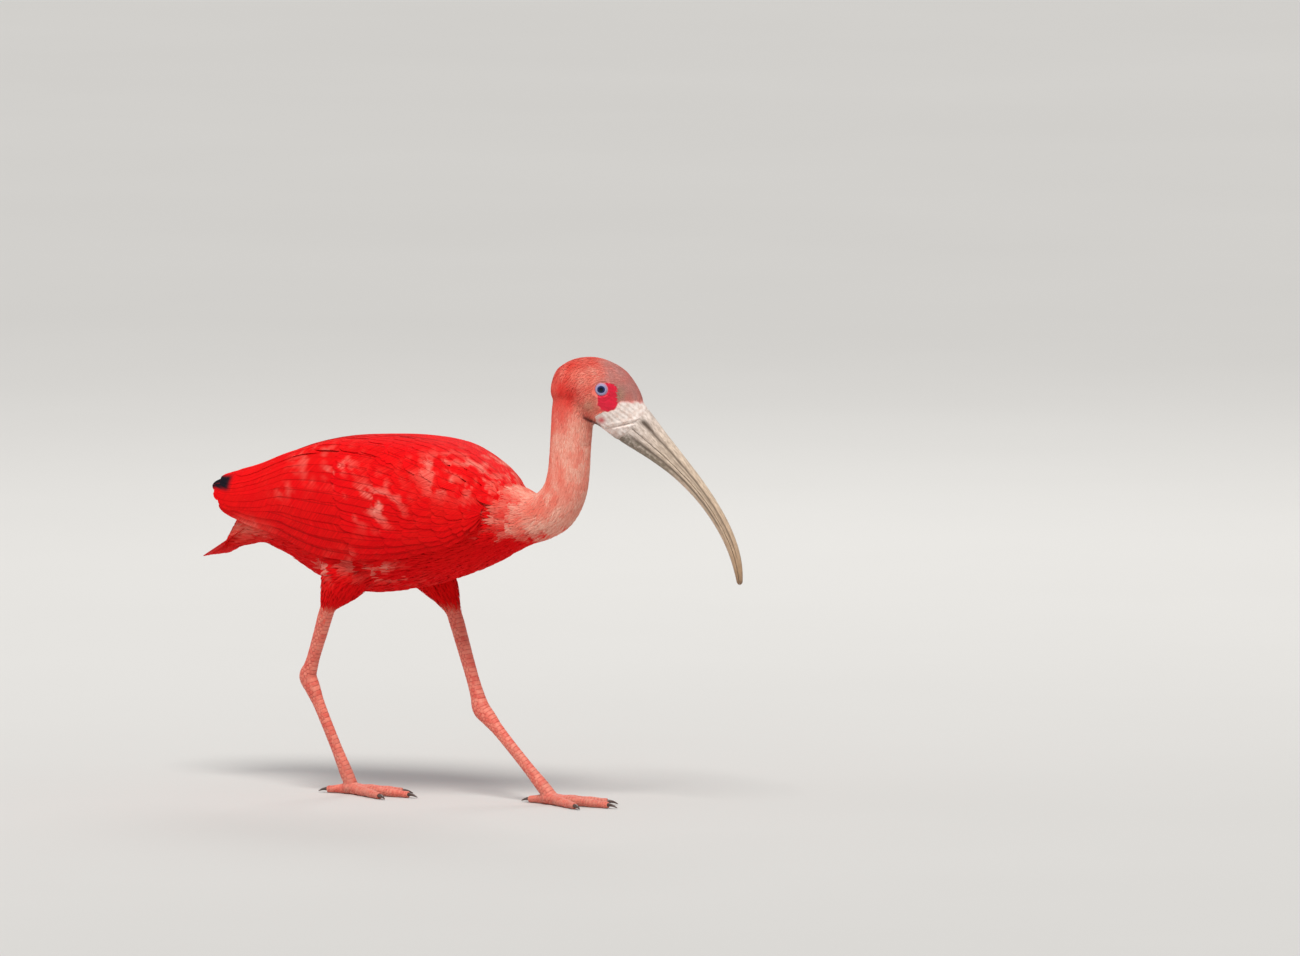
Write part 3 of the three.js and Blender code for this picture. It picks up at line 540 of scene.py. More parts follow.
def spot(u, v, place):
    """1 in the middle of a spot, falling off smoothly all round."""
    return np.exp(-((u - place[0]) / place[2]) ** 2 - ((v - place[1]) / place[3]) ** 2)


def mouth_line(s):
    """The height of the line of the mouth behind the bill."""
    fall = (BILL_START[1] - 2.0 - GAPE[1]) / (BILL_START[0] - GAPE[0])
    return GAPE[1] + np.where(s < GAPE[0], 0.6 * (GAPE[0] - s), (s - GAPE[0]) * fall)


def markings(points):
    """Two rows of four for each point: salmon, pale, black and shade; then grey, tan, deep red and bare."""
    p = np.asarray(points, float).reshape(-1, 3)
    x, y, z = p.T
    s, angle = along_body(p)
    hs, hy, hz = to_head(p).T
    under, from_top = -np.sin(angle), body_length - s
    broad, fine = value_noise(p, 16, 3), value_noise(p, 5, 5)
    speckle, grain = value_noise(p, 2.6, 21), value_noise(p, 2.2, 12)
    streak = value_noise(p * [0.5, 1, 0.5], 3, 8)
    mottle = value_noise(p * [1, 1, 0.5], 5.0, 15)

    # The neck's salmon, which ends raggedly over the breast and the shoulder
    neck_edge = NECK_REACH - 22 * step_between(0.35, 0.95, under) + 6 * broad + 7 * fine + 9 * speckle
    salmon = 1 - step_between(neck_edge - 17, neck_edge + 13, from_top)
    shoulder = 0.75 * spot(x, z, SHOULDER_SPOT) * step_between(0.05, 0.5, fine + 0.5 * broad)
    yoke = 0.6 * spot(x, z, YOKE_SPOT) * step_between(-0.1, 0.45, speckle + 0.5 * fine)
    salmon = np.maximum.reduce([salmon, shoulder, yoke])

    # Pale mottles of the neck and spots of the trunk
    front = step_between(0.15, 0.9, under) * (salmon > 0.5) * step_between(120, 132, x)
    pale = 0.4 * front + 0.9 * step_between(-0.85, 0.7, mottle + 0.45 * streak) * salmon
    pale += 0.4 * hill(from_top, 100, 16) * step_between(-0.2, 0.6, under) * salmon
    for *place, much in PALE_SPOTS:
        near = spot(x - 4 * np.sign(y), z, place)
        pale = np.maximum(pale, much * near * step_between(0, 0.5, fine + 0.6 * streak))

    # The wings' black tips
    black = step_between(BLACK_TIP_X + 2, BLACK_TIP_X - 4, x) * step_between(209, 211, z)
    black *= np.maximum(step_between(220.5, 218, z + 0.8 * streak), step_between(-142, -145, x))

    # The bare skin: the crimson of the face and the pale base of the bill
    on_head = step_between(262, 288, z + 4 * broad) * step_between(110, 122, x)
    in_front = (x > 128) & (hz > 252)
    off_s = (hs - CRIMSON_MIDDLE[0] + 0.9 * grain) / CRIMSON_REACH[0]
    off_z = (hz - CRIMSON_MIDDLE[1] + 0.9 * grain) / CRIMSON_REACH[1]
    crimson = step_between(1.25, 0.85, np.abs(off_s) ** CRIMSON_POWER + np.abs(off_z) ** CRIMSON_POWER)
    crimson = crimson * (np.abs(hy) > 5) * in_front
    base = step_between(-0.9, 0.9, hs + 1.5 * grain - bill_base_edge(hz))
    base = base * step_between(286.6, 284.0, hz + 1.1 * grain) * in_front * (1 - crimson)
    bare = np.maximum(crimson, base)

    # The feathered face
    forehead = step_between(16, 30, hs + 4 * fine) * step_between(279, 283, hz)
    grey = on_head * forehead * (0.78 + 0.2 * streak)
    crown = on_head * step_between(306, 312, hz) * (1 - forehead)
    cheek = spot(hs, hz, CHEEK_SPOT) * (0.3 + 0.25 * fine)
    # The throat's tan spot, under the cheek by the gape, is painted shade.
    lore, throat = 0.6 * spot(hs, hz, LORE_SPOT), 0.4 * spot(hs, hz, THROAT_SHADE_SPOT)
    tan = np.maximum.reduce([cheek, lore, throat]) * (x > 120)
    deep = 0.9 * spot(hs, hz, NAPE_SPOT) + 0.45 * crown + 0.5 * on_head * step_between(0, -9, hs + 3 * fine)
    deep = deep * (x > 115)
    # The line of the mouth is painted dark: painted shade in its crease.
    mouth_shade = hill(hz, mouth_line(hs), 0.9 + 0.9 * step_between(6, 13, hs))
    mouth_shade = mouth_shade * step_between(5, 9, hs) * step_between(22, 18, hs) * in_front
    black = np.maximum(black, 0.8 * mouth_shade)

    # The head, the thighs' ends and the painted glow of the vent over the rest
    salmon = salmon * (1 - on_head) + np.maximum(on_head * (0.72 + 0.2 * fine), 0.5) * on_head
    salmon = np.maximum(salmon, 0.85 * step_between(139, 131, z + 2 * fine) * (z > 100))
    # The vent's orange and pale streaks are painted light: the undertail feathers lit through from behind.
    vent = spot(x, z, VENT_GLOW_SPOT)
    salmon = np.maximum(salmon, 0.75 * vent)
    pale = np.maximum(pale * (1 - 0.65 * on_head), 0.3 * vent * step_between(-0.2, 0.6, streak))
    over_eye = spot(hs + hz, hs - hz, OVER_EYE_SPOT) * (x > 128)
    pale = np.maximum(pale, 0.8 * over_eye * step_between(-0.3, 0.5, grain + 0.5 * fine))
    pale = pale * (1 - bare) + base * (1 - 0.8 * spot(hs, hz, BILL_SPOT))
    tan = tan * on_head * (1 - base) + 0.85 * base * step_between(265, 258, hz + 2 * grain)
    shade = 0.5 + 0.25 * broad + 0.25 * fine
    rows = (salmon, pale, black, shade), (grey, tan, deep, bare)
    return [np.clip(np.stack(row, axis=1), 0, 1) for row in rows]


# Materials

SCARLET, SCARLET_DEEP, ORANGE_RED = (0.95, 0.0020, 0.0065), (0.80, 0.0014, 0.0045), (0.93, 0.024, 0.010)
SALMON, SALMON_RED, PEACH = (0.96, 0.300, 0.215), (0.92, 0.110, 0.072), (0.98, 0.52, 0.40)
GREY_PINK, GREY_PEACH, TAN = (0.61, 0.265, 0.250), (0.62, 0.30, 0.26), (0.52, 0.33, 0.21)
DEEP_RED, SHAFT_RED, BLACK_PLUME = (0.78, 0.022, 0.020), (0.30, 0.004, 0.004), (0.012, 0.010, 0.016)
CRIMSON, CRIMSON_LIGHT = (0.72, 0.004, 0.030), (0.84, 0.020, 0.060)
BILL_PINK, BILL_SPECK, BILL_OLIVE = (0.97, 0.85, 0.79), (0.56, 0.33, 0.24), (0.16, 0.125, 0.075)
BILL_ALONG = [
    (0.0, BILL_PINK), (0.10, (0.94, 0.79, 0.69)), (0.24, (0.92, 0.75, 0.60)), (0.45, (0.88, 0.69, 0.52)),
    (0.75, (0.80, 0.58, 0.40)), (0.92, (0.60, 0.38, 0.22)), (1.0, (0.32, 0.18, 0.10)),
]
BILL_STREAK, BILL_FURROW_SHADE, BILL_STAIN = (0.20, 0.12, 0.07), (0.09, 0.055, 0.035), (0.085, 0.075, 0.040)
LID_BLUES = (0.21, 0.24, 0.46), (0.40, 0.40, 0.60)
LID_PINKS = (0.62, 0.20, 0.25), (0.60, 0.30, 0.38)
LID_RIM = (0.05, 0.05, 0.11)
IRIS_BLUES, PUPIL = ((0.004, 0.010, 0.060), (0.014, 0.030, 0.150)), (0.001, 0.002, 0.010)
LEG_REDS, LEG_PINK = ((0.74, 0.110, 0.075), (0.88, 0.230, 0.160)), (0.90, 0.36, 0.26)
LEG_GROOVE, LEG_WEAR = (0.42, 0.04, 0.030), (0.30, 0.20, 0.15)
CLAW_BROWNS = (0.035, 0.020, 0.016), (0.11, 0.06, 0.045)
FLOOR_GREYS = (0.60, 0.59, 0.57), (0.64, 0.63, 0.61)


class Nodes:
    """Short ways to add nodes to one material."""

    def __init__(self, name):
        self.material = bpy.data.materials.new(name)
        self.material.use_nodes = True
        self.tree = self.material.node_tree
        self.shader = self.tree.nodes["Principled BSDF"]

    def put(self, sockets, values):
        """A number, a colour or another node's output into each socket named."""
        for key, value in values.items():
            if isinstance(value, (float, int)):
                sockets[key].default_value = value
            elif isinstance(value, tuple):
                sockets[key].default_value = (*value, 1)
            else:
                self.tree.links.new(value, sockets[key])

    def node(self, kind, inputs, **settings):
        """The outputs of a new node."""
        made = self.tree.nodes.new("ShaderNode" + kind)
        for key, value in settings.items():
            setattr(made, key, value)
        self.put(made.inputs, inputs)
        return made.outputs

    def attribute(self, name):
        source = self.node("Attribute", {}, attribute_name=name)
        return (*self.node("SeparateColor", {0: source["Color"]}), source["Alpha"])

    def mix(self, factor, first, second, blend="MIX"):
        return self.node("Mix", {0: factor, 6: first, 7: second}, data_type="RGBA", blend_type=blend)[2]

    def math(self, operation, *values):
        return self.node("Math", dict(enumerate(values)), operation=operation)[0]

    def times(self, first, second):
        return self.math("MULTIPLY", first, second)

    def plus(self, first, second):
        return self.math("ADD", first, second)

    def vector(self, *values):
        return self.node("CombineXYZ", dict(enumerate(values)))[0]

    def place(self):
        return self.node("TexCoord", {})["Object"]

    def noise(self, scale, detail=3.0, vector=None, roughness=0.55):
        vector = self.place() if vector is None else vector
        inputs = {"Scale": scale, "Detail": detail, "Roughness": roughness, "Vector": vector}
        return self.node("TexNoise", inputs)["Fac"]

    def pores(self, scale):
        return self.node("TexVoronoi", {"Scale": scale, "Vector": self.place()})["Distance"]

    def ramp(self, factor, *stops):
        node = self.tree.nodes.new("ShaderNodeValToRGB")
        ramp = node.color_ramp
        while len(ramp.elements) < len(stops):
            ramp.elements.new(0.5)
        for element, (at, colour) in zip(ramp.elements, stops):
            element.position = at
            element.color = (*colour, 1) if isinstance(colour, tuple) else (colour, colour, colour, 1)
        self.put(node.inputs, {0: factor})
        return node.outputs[0]

    def bump(self, height, distance, strength):
        bent = self.node("Bump", {"Strength": strength, "Distance": distance, "Height": height})[0]
        self.put(self.shader.inputs, {"Normal": bent})

    def finish(self, colour, roughness, specular, coat=0.0):
        self.put(self.shader.inputs, {"Base Color": colour, "Roughness": roughness,
                                      "Specular IOR Level": specular, "Coat Weight": coat})
        return self.material


def marked_colour(n, within, streak):
    """The markings' colours, where within is 0 at a feather's root and 1 at its tip, and how bare it is."""
    salmon, pale, black, shade = n.attribute("mark")
    grey, tan, deep, bare = n.attribute("tone")
    # Toward a feather's root the colour darkens to the deep scarlet and the salmon red: partly the feathers'
    # own darker bases, partly painted shade where the feathers overlap.
    body = n.mix(n.times(shade, 0.3), n.mix(within, SCARLET_DEEP, SCARLET), ORANGE_RED)
    neck = n.mix(n.times(n.plus(shade, within), 0.5), SALMON_RED, SALMON)
    colour = n.mix(salmon, body, neck)
    colour = n.mix(n.times(pale, n.ramp(streak, (0.35, 0.35), (0.6, 1.0))), colour, PEACH)
    colour = n.mix(deep, colour, DEEP_RED)
    colour = n.mix(grey, colour, n.mix(streak, GREY_PINK, GREY_PEACH))
    colour = n.mix(tan, colour, TAN)
    horn = n.mix(n.ramp(n.noise(330, 5), (0.42, 0.0), (0.68, 0.55)), BILL_PINK, BILL_SPECK)
    skin = n.mix(n.noise(900, 4), CRIMSON, CRIMSON_LIGHT)
    skin = n.mix(pale, skin, n.mix(tan, horn, BILL_OLIVE))
    return n.mix(black, n.mix(bare, colour, skin), BLACK_PLUME), bare


def plumage_material(name, barbs, shaft, roughness):
    """Feathers, whose barbs are streaks along the barb coordinate, with a darker shaft down the middle."""
    n = Nodes(name)
    along, across, chance, barb = n.attribute("vane")
    # Darker toward the root: partly the feathers' own bases, partly painted shade between the feathers.
    within = n.plus(n.times(along, 0.5), n.times(chance, 0.5))
    stripe = n.noise(barbs, 2, n.vector(barb, n.times(chance, 7.0), n.times(across, 0.004)), 0.7)
    colour, _ = marked_colour(n, within, stripe)
    colour = n.mix(1.0, colour, n.ramp(stripe, (0.32, 0.70), (0.62, 1.0)), "MULTIPLY")
    if shaft:
        off = n.math("ABSOLUTE", n.math("SUBTRACT", across, 0.5))
        colour = n.mix(n.ramp(off, (0.0, 0.55), (0.035, 0.25), (0.06, 0.0)), colour, SHAFT_RED)
    n.bump(stripe, 0.0004, 0.55)
    return n.finish(colour, roughness, 0.04)


def skin_material():
    n = Nodes("skin")
    colour, bare = marked_colour(n, n.noise(300), n.noise(420))
    n.bump(n.plus(n.times(n.pores(1500), 0.4), n.noise(650, 5)), 0.0004, 0.6)
    return n.finish(colour, n.math("SUBTRACT", 0.7, n.times(bare, 0.22)), 0.28)


def lid_material():
    n = Nodes("lid")
    ring = n.attribute("lid")[0]
    tone = n.noise(700)
    outward = n.ramp(ring, (0.0, 0.0), (0.45, 0.1), (0.85, 1.0))
    colour = n.mix(outward, n.mix(tone, *LID_BLUES), n.mix(tone, *LID_PINKS))
    colour = n.mix(n.ramp(ring, (0.0, 0.9), (0.12, 0.0)), colour, LID_RIM)
    n.bump(n.noise(1800), 0.0002, 0.5)
    return n.finish(colour, 0.42, 0.4)


def eye_material():
    n = Nodes("eye")
    ring, turn, _, _ = n.attribute("eye")
    iris = n.mix(n.noise(9, 3, n.vector(n.times(turn, 5.0), n.times(ring, 1.5), 0.0)), *IRIS_BLUES)
    outward = n.ramp(ring, (0.0, 0.0), (0.42, 0.0), (0.5, 1.0), (1.0, 1.0))
    n.put(n.shader.inputs, {"Coat Roughness": 0.02})
    return n.finish(n.mix(outward, PUPIL, iris), 0.10, 0.2, 0.25)


def bill_material():
    n = Nodes("horn_bill")
    along, high, furrow, lower = n.attribute("horn")
    streak = n.noise(1.0, 5, n.vector(n.times(along, 26.0), n.times(high, 9.0), lower), 0.65)
    spots = n.noise(420, 4)
    base = n.ramp(n.plus(along, n.times(n.math("SUBTRACT", spots, 0.5), 0.12)), *BILL_ALONG)
    colour = n.mix(n.ramp(streak, (0.35, 0.0), (0.62, 0.55)), base, BILL_STREAK)
    # The furrows and the nostril are painted dark: painted shade in the grooves.
    colour = n.mix(n.times(furrow, 0.85), colour, BILL_FURROW_SHADE)
    stain = n.ramp(n.plus(n.times(spots, 0.55), n.times(high, -0.55)), (0.52, 0.0), (0.72, 0.8))
    near_base = n.ramp(along, (0.02, 1.0), (0.30, 0.8), (0.42, 0.0))
    colour = n.mix(n.times(stain, near_base), colour, BILL_STAIN)
    n.bump(n.plus(streak, n.times(spots, 0.5)), 0.00035, 0.55)
    return n.finish(colour, n.plus(0.3, n.times(streak, 0.3)), 0.45)


def leg_material():
    n = Nodes("leg_skin")
    groove, cell, wear, _ = n.attribute("scale")
    spots = n.noise(260, 4)
    plate = n.mix(n.ramp(spots, (0.45, 0.0), (0.7, 0.5)), n.mix(cell, *LEG_REDS), LEG_PINK)
    colour = n.mix(n.times(groove, 0.75), plate, LEG_GROOVE)
    colour = n.mix(n.times(wear, n.plus(spots, 0.1)), colour, LEG_WEAR)
    n.bump(n.math("SUBTRACT", n.noise(1400), groove), 0.00025, 0.5)
    return n.finish(colour, n.plus(0.4, n.times(spots, 0.25)), 0.4)


def plain_material(name, scale, colours, roughness, specular):
    n = Nodes(name)
    return n.finish(n.mix(n.noise(scale), *colours), roughness, specular)


plumage = plumage_material("plumage", 300.0, False, 0.75)
vane_plumage = plumage_material("vane_plumage", 130.0, True, 0.66)
bare_skin = skin_material()


# The skin: trunk, neck, head, thighs, tail root and the wings' flesh in one surface

SIDEWAYS, UPWARD = np.array([0, 1, 0]), np.array([0, 0, 1])
PAD_END_X = -60

wing_top_angle = profile(WING_TOP_ANGLE)
wing_low_angle = profile(WING_LOW_ANGLE)
wing_thickness = profile(WING_THICKNESS)


def mirrored(points, side):
    return points * [1, side, 1]


def trunk_coat(row):
    return -(COAT_NECK + (COAT_TRUNK - COAT_NECK) * step_between(110, 90, row[0]))


def head_coat(row):
    return -COAT_HEAD * step_between(38, 28, row[0])


def wing_angle(x, share):
    """The angle round the trunk at a share of the folded wing's height."""
    low, top = wing_low_angle(x), wing_top_angle(x)
    to_front = np.minimum((WRIST_X - x) / WRIST_ROUND, 1)
    closing = np.sqrt(np.maximum(1 - (1 - to_front) ** 2, 0.02))
    return (top + low) / 2 + (top - low) / 2 * closing * (2 * share - 1)


def plate_lift(x, share):
    """How far the wing's flesh stands off the trunk: least at its edges and the shoulder's top."""
    shoulder = step_between(0.45, 0.95, share) * step_between(35, 75, x)
    low_edge = 0.55 + 0.45 * np.clip(share * 6, 0, 1)
    top_edge = 0.2 + 0.8 * np.clip((1 - share) * 5, 0, 1)
    return wing_thickness(x) * low_edge * top_edge * (1 - 0.6 * shoulder)


def wing_pad(side):
    """The wing's flesh and bone, a low cushion under its coverts."""
    x = np.linspace(WRIST_X - 6, PAD_END_X, 25)[:, None]
    share = np.linspace(0.06, 0.94, 15)
    angle = wing_angle(x, share)
    edge = np.minimum(1, 5 * np.minimum(share, 1 - share))
    edge = edge * step_between(PAD_END_X, -20, x) * step_between(WRIST_X - 6, WRIST_X - 16, x)
    outer = on_trunk(x, angle, plate_lift(x, share) * edge - 0.9)
    inner = on_trunk(x, angle, -6.0)
    return loft(mirrored(np.concatenate([outer, inner[:, ::-1]], axis=1), side))


def thigh_rings(leg):
    """The thigh, with a thin sleeve inside the shank that carries the thigh's lowest feathers."""
    down = unit(leg["ankle"] - leg["end"])
    sleeve = [(*(leg["end"] + down * reach), SLEEVE_RADIUS, SLEEVE_RADIUS) for reach in SLEEVE_REACHES]
    bare = leg["thigh"] - [0, 0, 0, COAT_THIGH, COAT_THIGH]
    return tube_rings(smooth_path(np.vstack([bare, sleeve]), 3), 28, SIDEWAYS)


def tail_root_rings():
    share = np.linspace(-0.1, 1, 12)[:, None]
    fade = (1 - np.clip(share, 0, 1)) ** 1.3
    across, rise = on_section(round_turn(36), 7 + 9.5 * fade, 2.2 + 22 * fade, 2.2 + 14 * fade, 2.2)
    return in_tail(TAIL_LENGTH * TAIL_ROOT_SHARE * share, across * 0.98, rise - 2.5)


bill_slope = profile(BILL_SLOPE)
bill_half_depth = profile(BILL_HALF_DEPTH)
bill_half_width = profile(BILL_HALF_WIDTH)

# The skin's edge laps over the bill's base: share of the bill's length, and how far off the bill it is
SKIN_LAP = ((0.012, 0.25), (0.024, 0.2), (0.036, -0.15), (0.046, -1.2))


def lap_ring(share, over):
    slope, run = float(bill_slope(share)), share * BILL_LENGTH
    s = BILL_START[0] + run * math.cos(math.radians(slope))
    z = BILL_START[1] - run * math.sin(math.radians(slope))
    depth = bill_half_depth(share) + over
    return s, z, -slope, depth, depth, bill_half_width(share) + over


head_rings = HEAD_RINGS + [lap_ring(*lap) for lap in SKIN_LAP]
skin_parts = [
    loft(fine_rings(BODY_RINGS, 3, 64, TRUNK_POWER, trunk_coat)),
    loft(from_head(fine_rings(head_rings, 1.6, 56, HEAD_POWER, head_coat))),
    loft(tail_root_rings()),
]
for leg in LEGS.values():
    skin_parts += [loft(thigh_rings(leg)), wing_pad(leg["side"])]
skin_points, skin_quads = remeshed("skin", skin_parts, SKIN_VOXEL, SKIN_ROUNDS)


# The face: sockets, brow, lores, the line of the mouth and its folds, cut into a finer surface

def refine(points, quads, chosen):
    """Each chosen quad becomes four. Its neighbours stay, and meet it without a gap."""
    edges, middles, extra = {}, [], len(points)
    picked = set(np.nonzero(chosen)[0].tolist())

    def edge(a, b):
        return (a, b) if a < b else (b, a)

    def middle(a, b):
        key = edge(a, b)
        if key not in edges:
            edges[key] = extra + len(middles)
            middles.append((points[a] + points[b]) / 2)
        return edges[key]

    made, triangles = [], []
    for f in picked:
        a, b, c, d = quads[f].tolist()
        ab, bc, cd, da = middle(a, b), middle(b, c), middle(c, d), middle(d, a)
        centre = extra + len(middles)
        middles.append(points[quads[f]].sum(axis=0) / 4)
        made += [(a, ab, centre, da), (ab, b, bc, centre), (centre, bc, c, cd), (da, centre, cd, d)]
    for f, corners in enumerate(quads.tolist()):
        if f in picked:
            continue
        ring = []
        for a, b in zip(corners, corners[1:] + corners[:1]):
            ring.append(a)
            if edge(a, b) in edges:
                ring.append(edges[edge(a, b)])
        if len(ring) == 4:
            made.append(tuple(ring))
        else:
            start = next(k for k in range(len(ring)) if ring[k] >= extra)
            turned = ring[start:] + ring[:start]
            triangles += [(turned[0], turned[k], turned[k + 1]) for k in range(1, len(turned) - 1)]
    return np.vstack([points, middles]), np.array(made), np.array(triangles).reshape(-1, 3)


def near_face(points, quads, reach):
    middle = points[quads].mean(axis=1)
    s, _, z = to_head(middle).T
    return (z > 284 - reach) & (s > 14 - reach) & (middle[:, 0] > 130)


# The hollow before the eye and the swell of the cheek, on s and z of the head
LORE_HOLLOW, CHEEK_SWELL = (29.5, 288.5, 4.5, 3.6), (9, 282, 7, 6)
LORE_LEAN = 0.55
FACE_SIDE = 6


def head_shape(points):
    """The points of the head with the shapes of its sides: each moves out or in across the head's plane."""
    s, side, z = to_head(points).T
    wide = np.abs(side)
    on_side = wide > FACE_SIDE
    r, over_eye = np.hypot(s - EYE_S, z - EYE_Z), z - EYE_Z
    ball = EYE_SIDE + np.sqrt(np.maximum(EYE_RADIUS ** 2 - r ** 2, 0)) - 1.0
    sunk = np.minimum(wide, np.maximum(ball, 11.5)) - wide
    brow = 0.65 * hill(r, 6.6, 1.3) * step_between(-2, 3, over_eye)
    below_eye = 0.4 * hill(r, 6.3, 0.9) * step_between(2, -4, over_eye)
    lore = -0.8 * spot(s, z + LORE_LEAN * (s - LORE_HOLLOW[0]), LORE_HOLLOW)
    cheek = 0.6 * spot(s, z, CHEEK_SWELL)
    off_line = z - mouth_line(s)
    mouth = -1.5 * hill(off_line, 0, 0.8) * step_between(5, 17, s)
    lips = 0.5 * (hill(off_line, 2, 1.1) + hill(off_line, -2, 1.1)) * step_between(12, 20, s)
    from_gape = np.hypot(s - GAPE[0] + 2, z - GAPE[1])
    gape_folds = 0.28 * np.sin(from_gape * 2.6) * hill(from_gape, 0, 6.5)
    marks, tones = markings(points)
    bare, base = tones[:, 3], marks[:, 1] * tones[:, 3]
    along, across = 0.86 * (s - EYE_S) - 0.5 * over_eye, 0.5 * (s - EYE_S) + 0.86 * over_eye
    wrinkle = value_noise(together(along * 0.35, across, 0), 1.1, 21)
    rings = 0.12 * np.sin(r * 3.4 + 2.2 * value_noise(points, 3, 29)) * hill(r, 7.6, 2.4)
    down_bill = math.radians(BILL_SLOPE[0][1])
    off_axis = (s - BILL_START[0]) * math.sin(down_bill) + (z - BILL_START[1]) * math.cos(down_bill)
    ridges = 0.14 * np.sin(off_axis * 2.1 + 1.6 * value_noise(points, 6, 27))
    folds = (bare - base) * (0.22 * wrinkle + rings) + base * (ridges + 0.1 * wrinkle) + 0.4 * bare
    socket = step_between(LID_OUTER, 3.7, r) * sunk
    moved = socket + brow + below_eye + lore + cheek + mouth + lips + gape_folds + folds
    return from_head(together(s, np.sign(side) * (wide + moved * on_side), z))


skin_triangles = np.empty((0, 3), int)
for reach in (34, 27):
    chosen = near_face(skin_points, skin_quads, reach)
    skin_points, skin_quads, added = refine(skin_points, skin_quads, chosen)
    skin_triangles = np.vstack([skin_triangles, added])
head_side = (skin_points[:, 0] > 120) & (skin_points[:, 2] > 258)
skin_points[head_side] = head_shape(skin_points[head_side])
skin_marks, skin_tones = markings(skin_points)
skin = make_mesh("skin", skin_points, skin_quads, skin_triangles, bare_skin,
                 {"mark": skin_marks, "tone": skin_tones}, unwrap(skin_points))
dressed(skin, "scarlet_plumage", "head", "neck_upper", "neck_lower", "torso", "tail", "wing_left",
        "wing_right", "wing_tip_left", "wing_tip_right", "thigh_left", "thigh_right")

skin_faces = skin_quads.tolist() + skin_triangles.tolist()
skin_tree = BVHTree.FromPolygons(skin_points.tolist(), skin_faces)
skin_normals = point_normals(skin_points, skin_quads)
face_first, face_third = (np.array([face[k] for face in skin_faces]) for k in (0, 2))


def on_skin(points):
    """The nearest points of the skin and the directions out of it there."""
    at = np.empty_like(points)
    faces = np.empty(len(points), int)
    for k, p in enumerate(points.tolist()):
        at[k], _, faces[k], _ = skin_tree.find_nearest(p)
    return at, unit(skin_normals[face_first[faces]] + skin_normals[face_third[faces]])


# The coat's lie: tailward on the trunk, down the neck, back over the crown and down the thighs

LIE_CENTRE = (23.0, 268.0)
BELLY_DROOP, CROWN_DROOP = 0.16, 0.25


def off_thigh(points, leg):
    """How far points lie from the line down a thigh's middle."""
    return np.linalg.norm(np.cross(points - leg["top"], leg["down"]), axis=1)


def lie(points, normals):
    x, y, z = points.T
    s, angle = along_body(points)
    pitch = path_pitch[np.round(s / body_length * (PATH_SAMPLES - 1)).astype(int)]
    way = -together(np.cos(pitch), 0, np.sin(pitch))
    way[:, 2] -= BELLY_DROOP * step_between(60, -60, x) * step_between(0, 1, np.abs(np.cos(angle)))
    hs, _, hz = to_head(points).T
    round_way = unit(together(LIE_CENTRE[1] - hz, 0, hs - LIE_CENTRE[0]))
    round_way[:, 2] -= CROWN_DROOP
    on_head = (step_between(268, 282, z) * step_between(118, 128, x))[:, None]
    way = way * (1 - on_head) + (from_head(round_way) - from_head(np.zeros(3))) * on_head
    for leg in LEGS.values():
        mine = step_between(164, 150, z) * (y * leg["side"] > 8)
        mine = (mine * step_between(26, 20, off_thigh(points, leg)))[:, None]
        way = way * (1 - mine) + leg["down"] * mine
    return unit(way - normals * np.sum(way * normals, axis=1, keepdims=True))


NEIGHBOURS = [(i, j, m) for i in (-1, 0, 1) for j in (-1, 0, 1) for m in (-1, 0, 1)]
OVERDRAW = 3.2


def crowded(cells, cell, point, limit):
    """Whether a point lies too near to any already in the cells. The limit is a squared distance."""
    x, y, z = point
    for i, j, m in NEIGHBOURS:
        for ox, oy, oz in cells.get((cell[0] + i, cell[1] + j, cell[2] + m), ()):
            if (ox - x) ** 2 + (oy - y) ** 2 + (oz - z) ** 2 < limit:
                return True
    return False


def spread_over(wanted, spacing, seed):
    """Random points of the skin where wanted is true, kept apart by the spacing there."""
    draw = np.random.default_rng(seed)
    corners = skin_points[skin_quads]
    corners = corners[wanted(corners.mean(axis=1))]
    area = np.linalg.norm(np.cross(corners[:, 2] - corners[:, 0], corners[:, 3] - corners[:, 1]), axis=1) / 2
    gap = spacing(corners.mean(axis=1))
    which = np.repeat(np.arange(len(corners)), draw.poisson(area / gap ** 2 * OVERDRAW))
    draw.shuffle(which)
    u, v = draw.random((2, len(which), 1))
    a, b, c, d = np.moveaxis(corners[which], 1, 0)
    points = (a * (1 - u) + b * u) * (1 - v) + (d * (1 - u) + c * u) * v
    gaps = gap[which].tolist()
    places = np.floor(points / max(gaps)).astype(int).tolist()
    cells, kept = {}, []
    for k, (point, cell) in enumerate(zip(points.tolist(), places)):
        if not crowded(cells, cell, point, gaps[k] ** 2):
            kept.append(k)
            cells.setdefault(tuple(cell), []).append(point)
    return points[kept]


PATCH = 0.003
LOCK_SHAPES = {3: [0.6, 1.0, 0.72], 4: [0.55, 1.0, 0.85, 0.5]}
ROOT_DEPTH = 0.4
SIDE_LEAN, TIP_LEAN = 0.55, 0.12


def patch_uv(roots, across, along):
    """Each feather's own small patch of the unwrap, at its root."""
    return (unwrap(roots)[:, None, :] + PATCH * (together(across, along) - 0.5)).reshape(-1, 2)


def lock_faces(segments):
    """The quads and triangles of one lock: three sides, closed at the root and drawn to a point."""
    quads = []
    for a in range(0, 3 * segments - 3, 3):
        quads += [(a, a + 3, a + 4, a + 1), (a + 1, a + 4, a + 5, a + 2), (a + 2, a + 5, a + 3, a)]
    end, tip = 3 * segments - 3, 3 * segments
    return quads, [(end, tip, end + 1), (end + 1, tip, end + 2), (end + 2, tip, end), (0, 1, 2)]


def repeated(faces, count, each):
    """The faces of one feather for a number of them, each with so many points."""
    starts = (np.arange(count) * each)[:, None, None]
    return (np.array(faces)[None] + starts).reshape(-1, np.shape(faces)[-1])


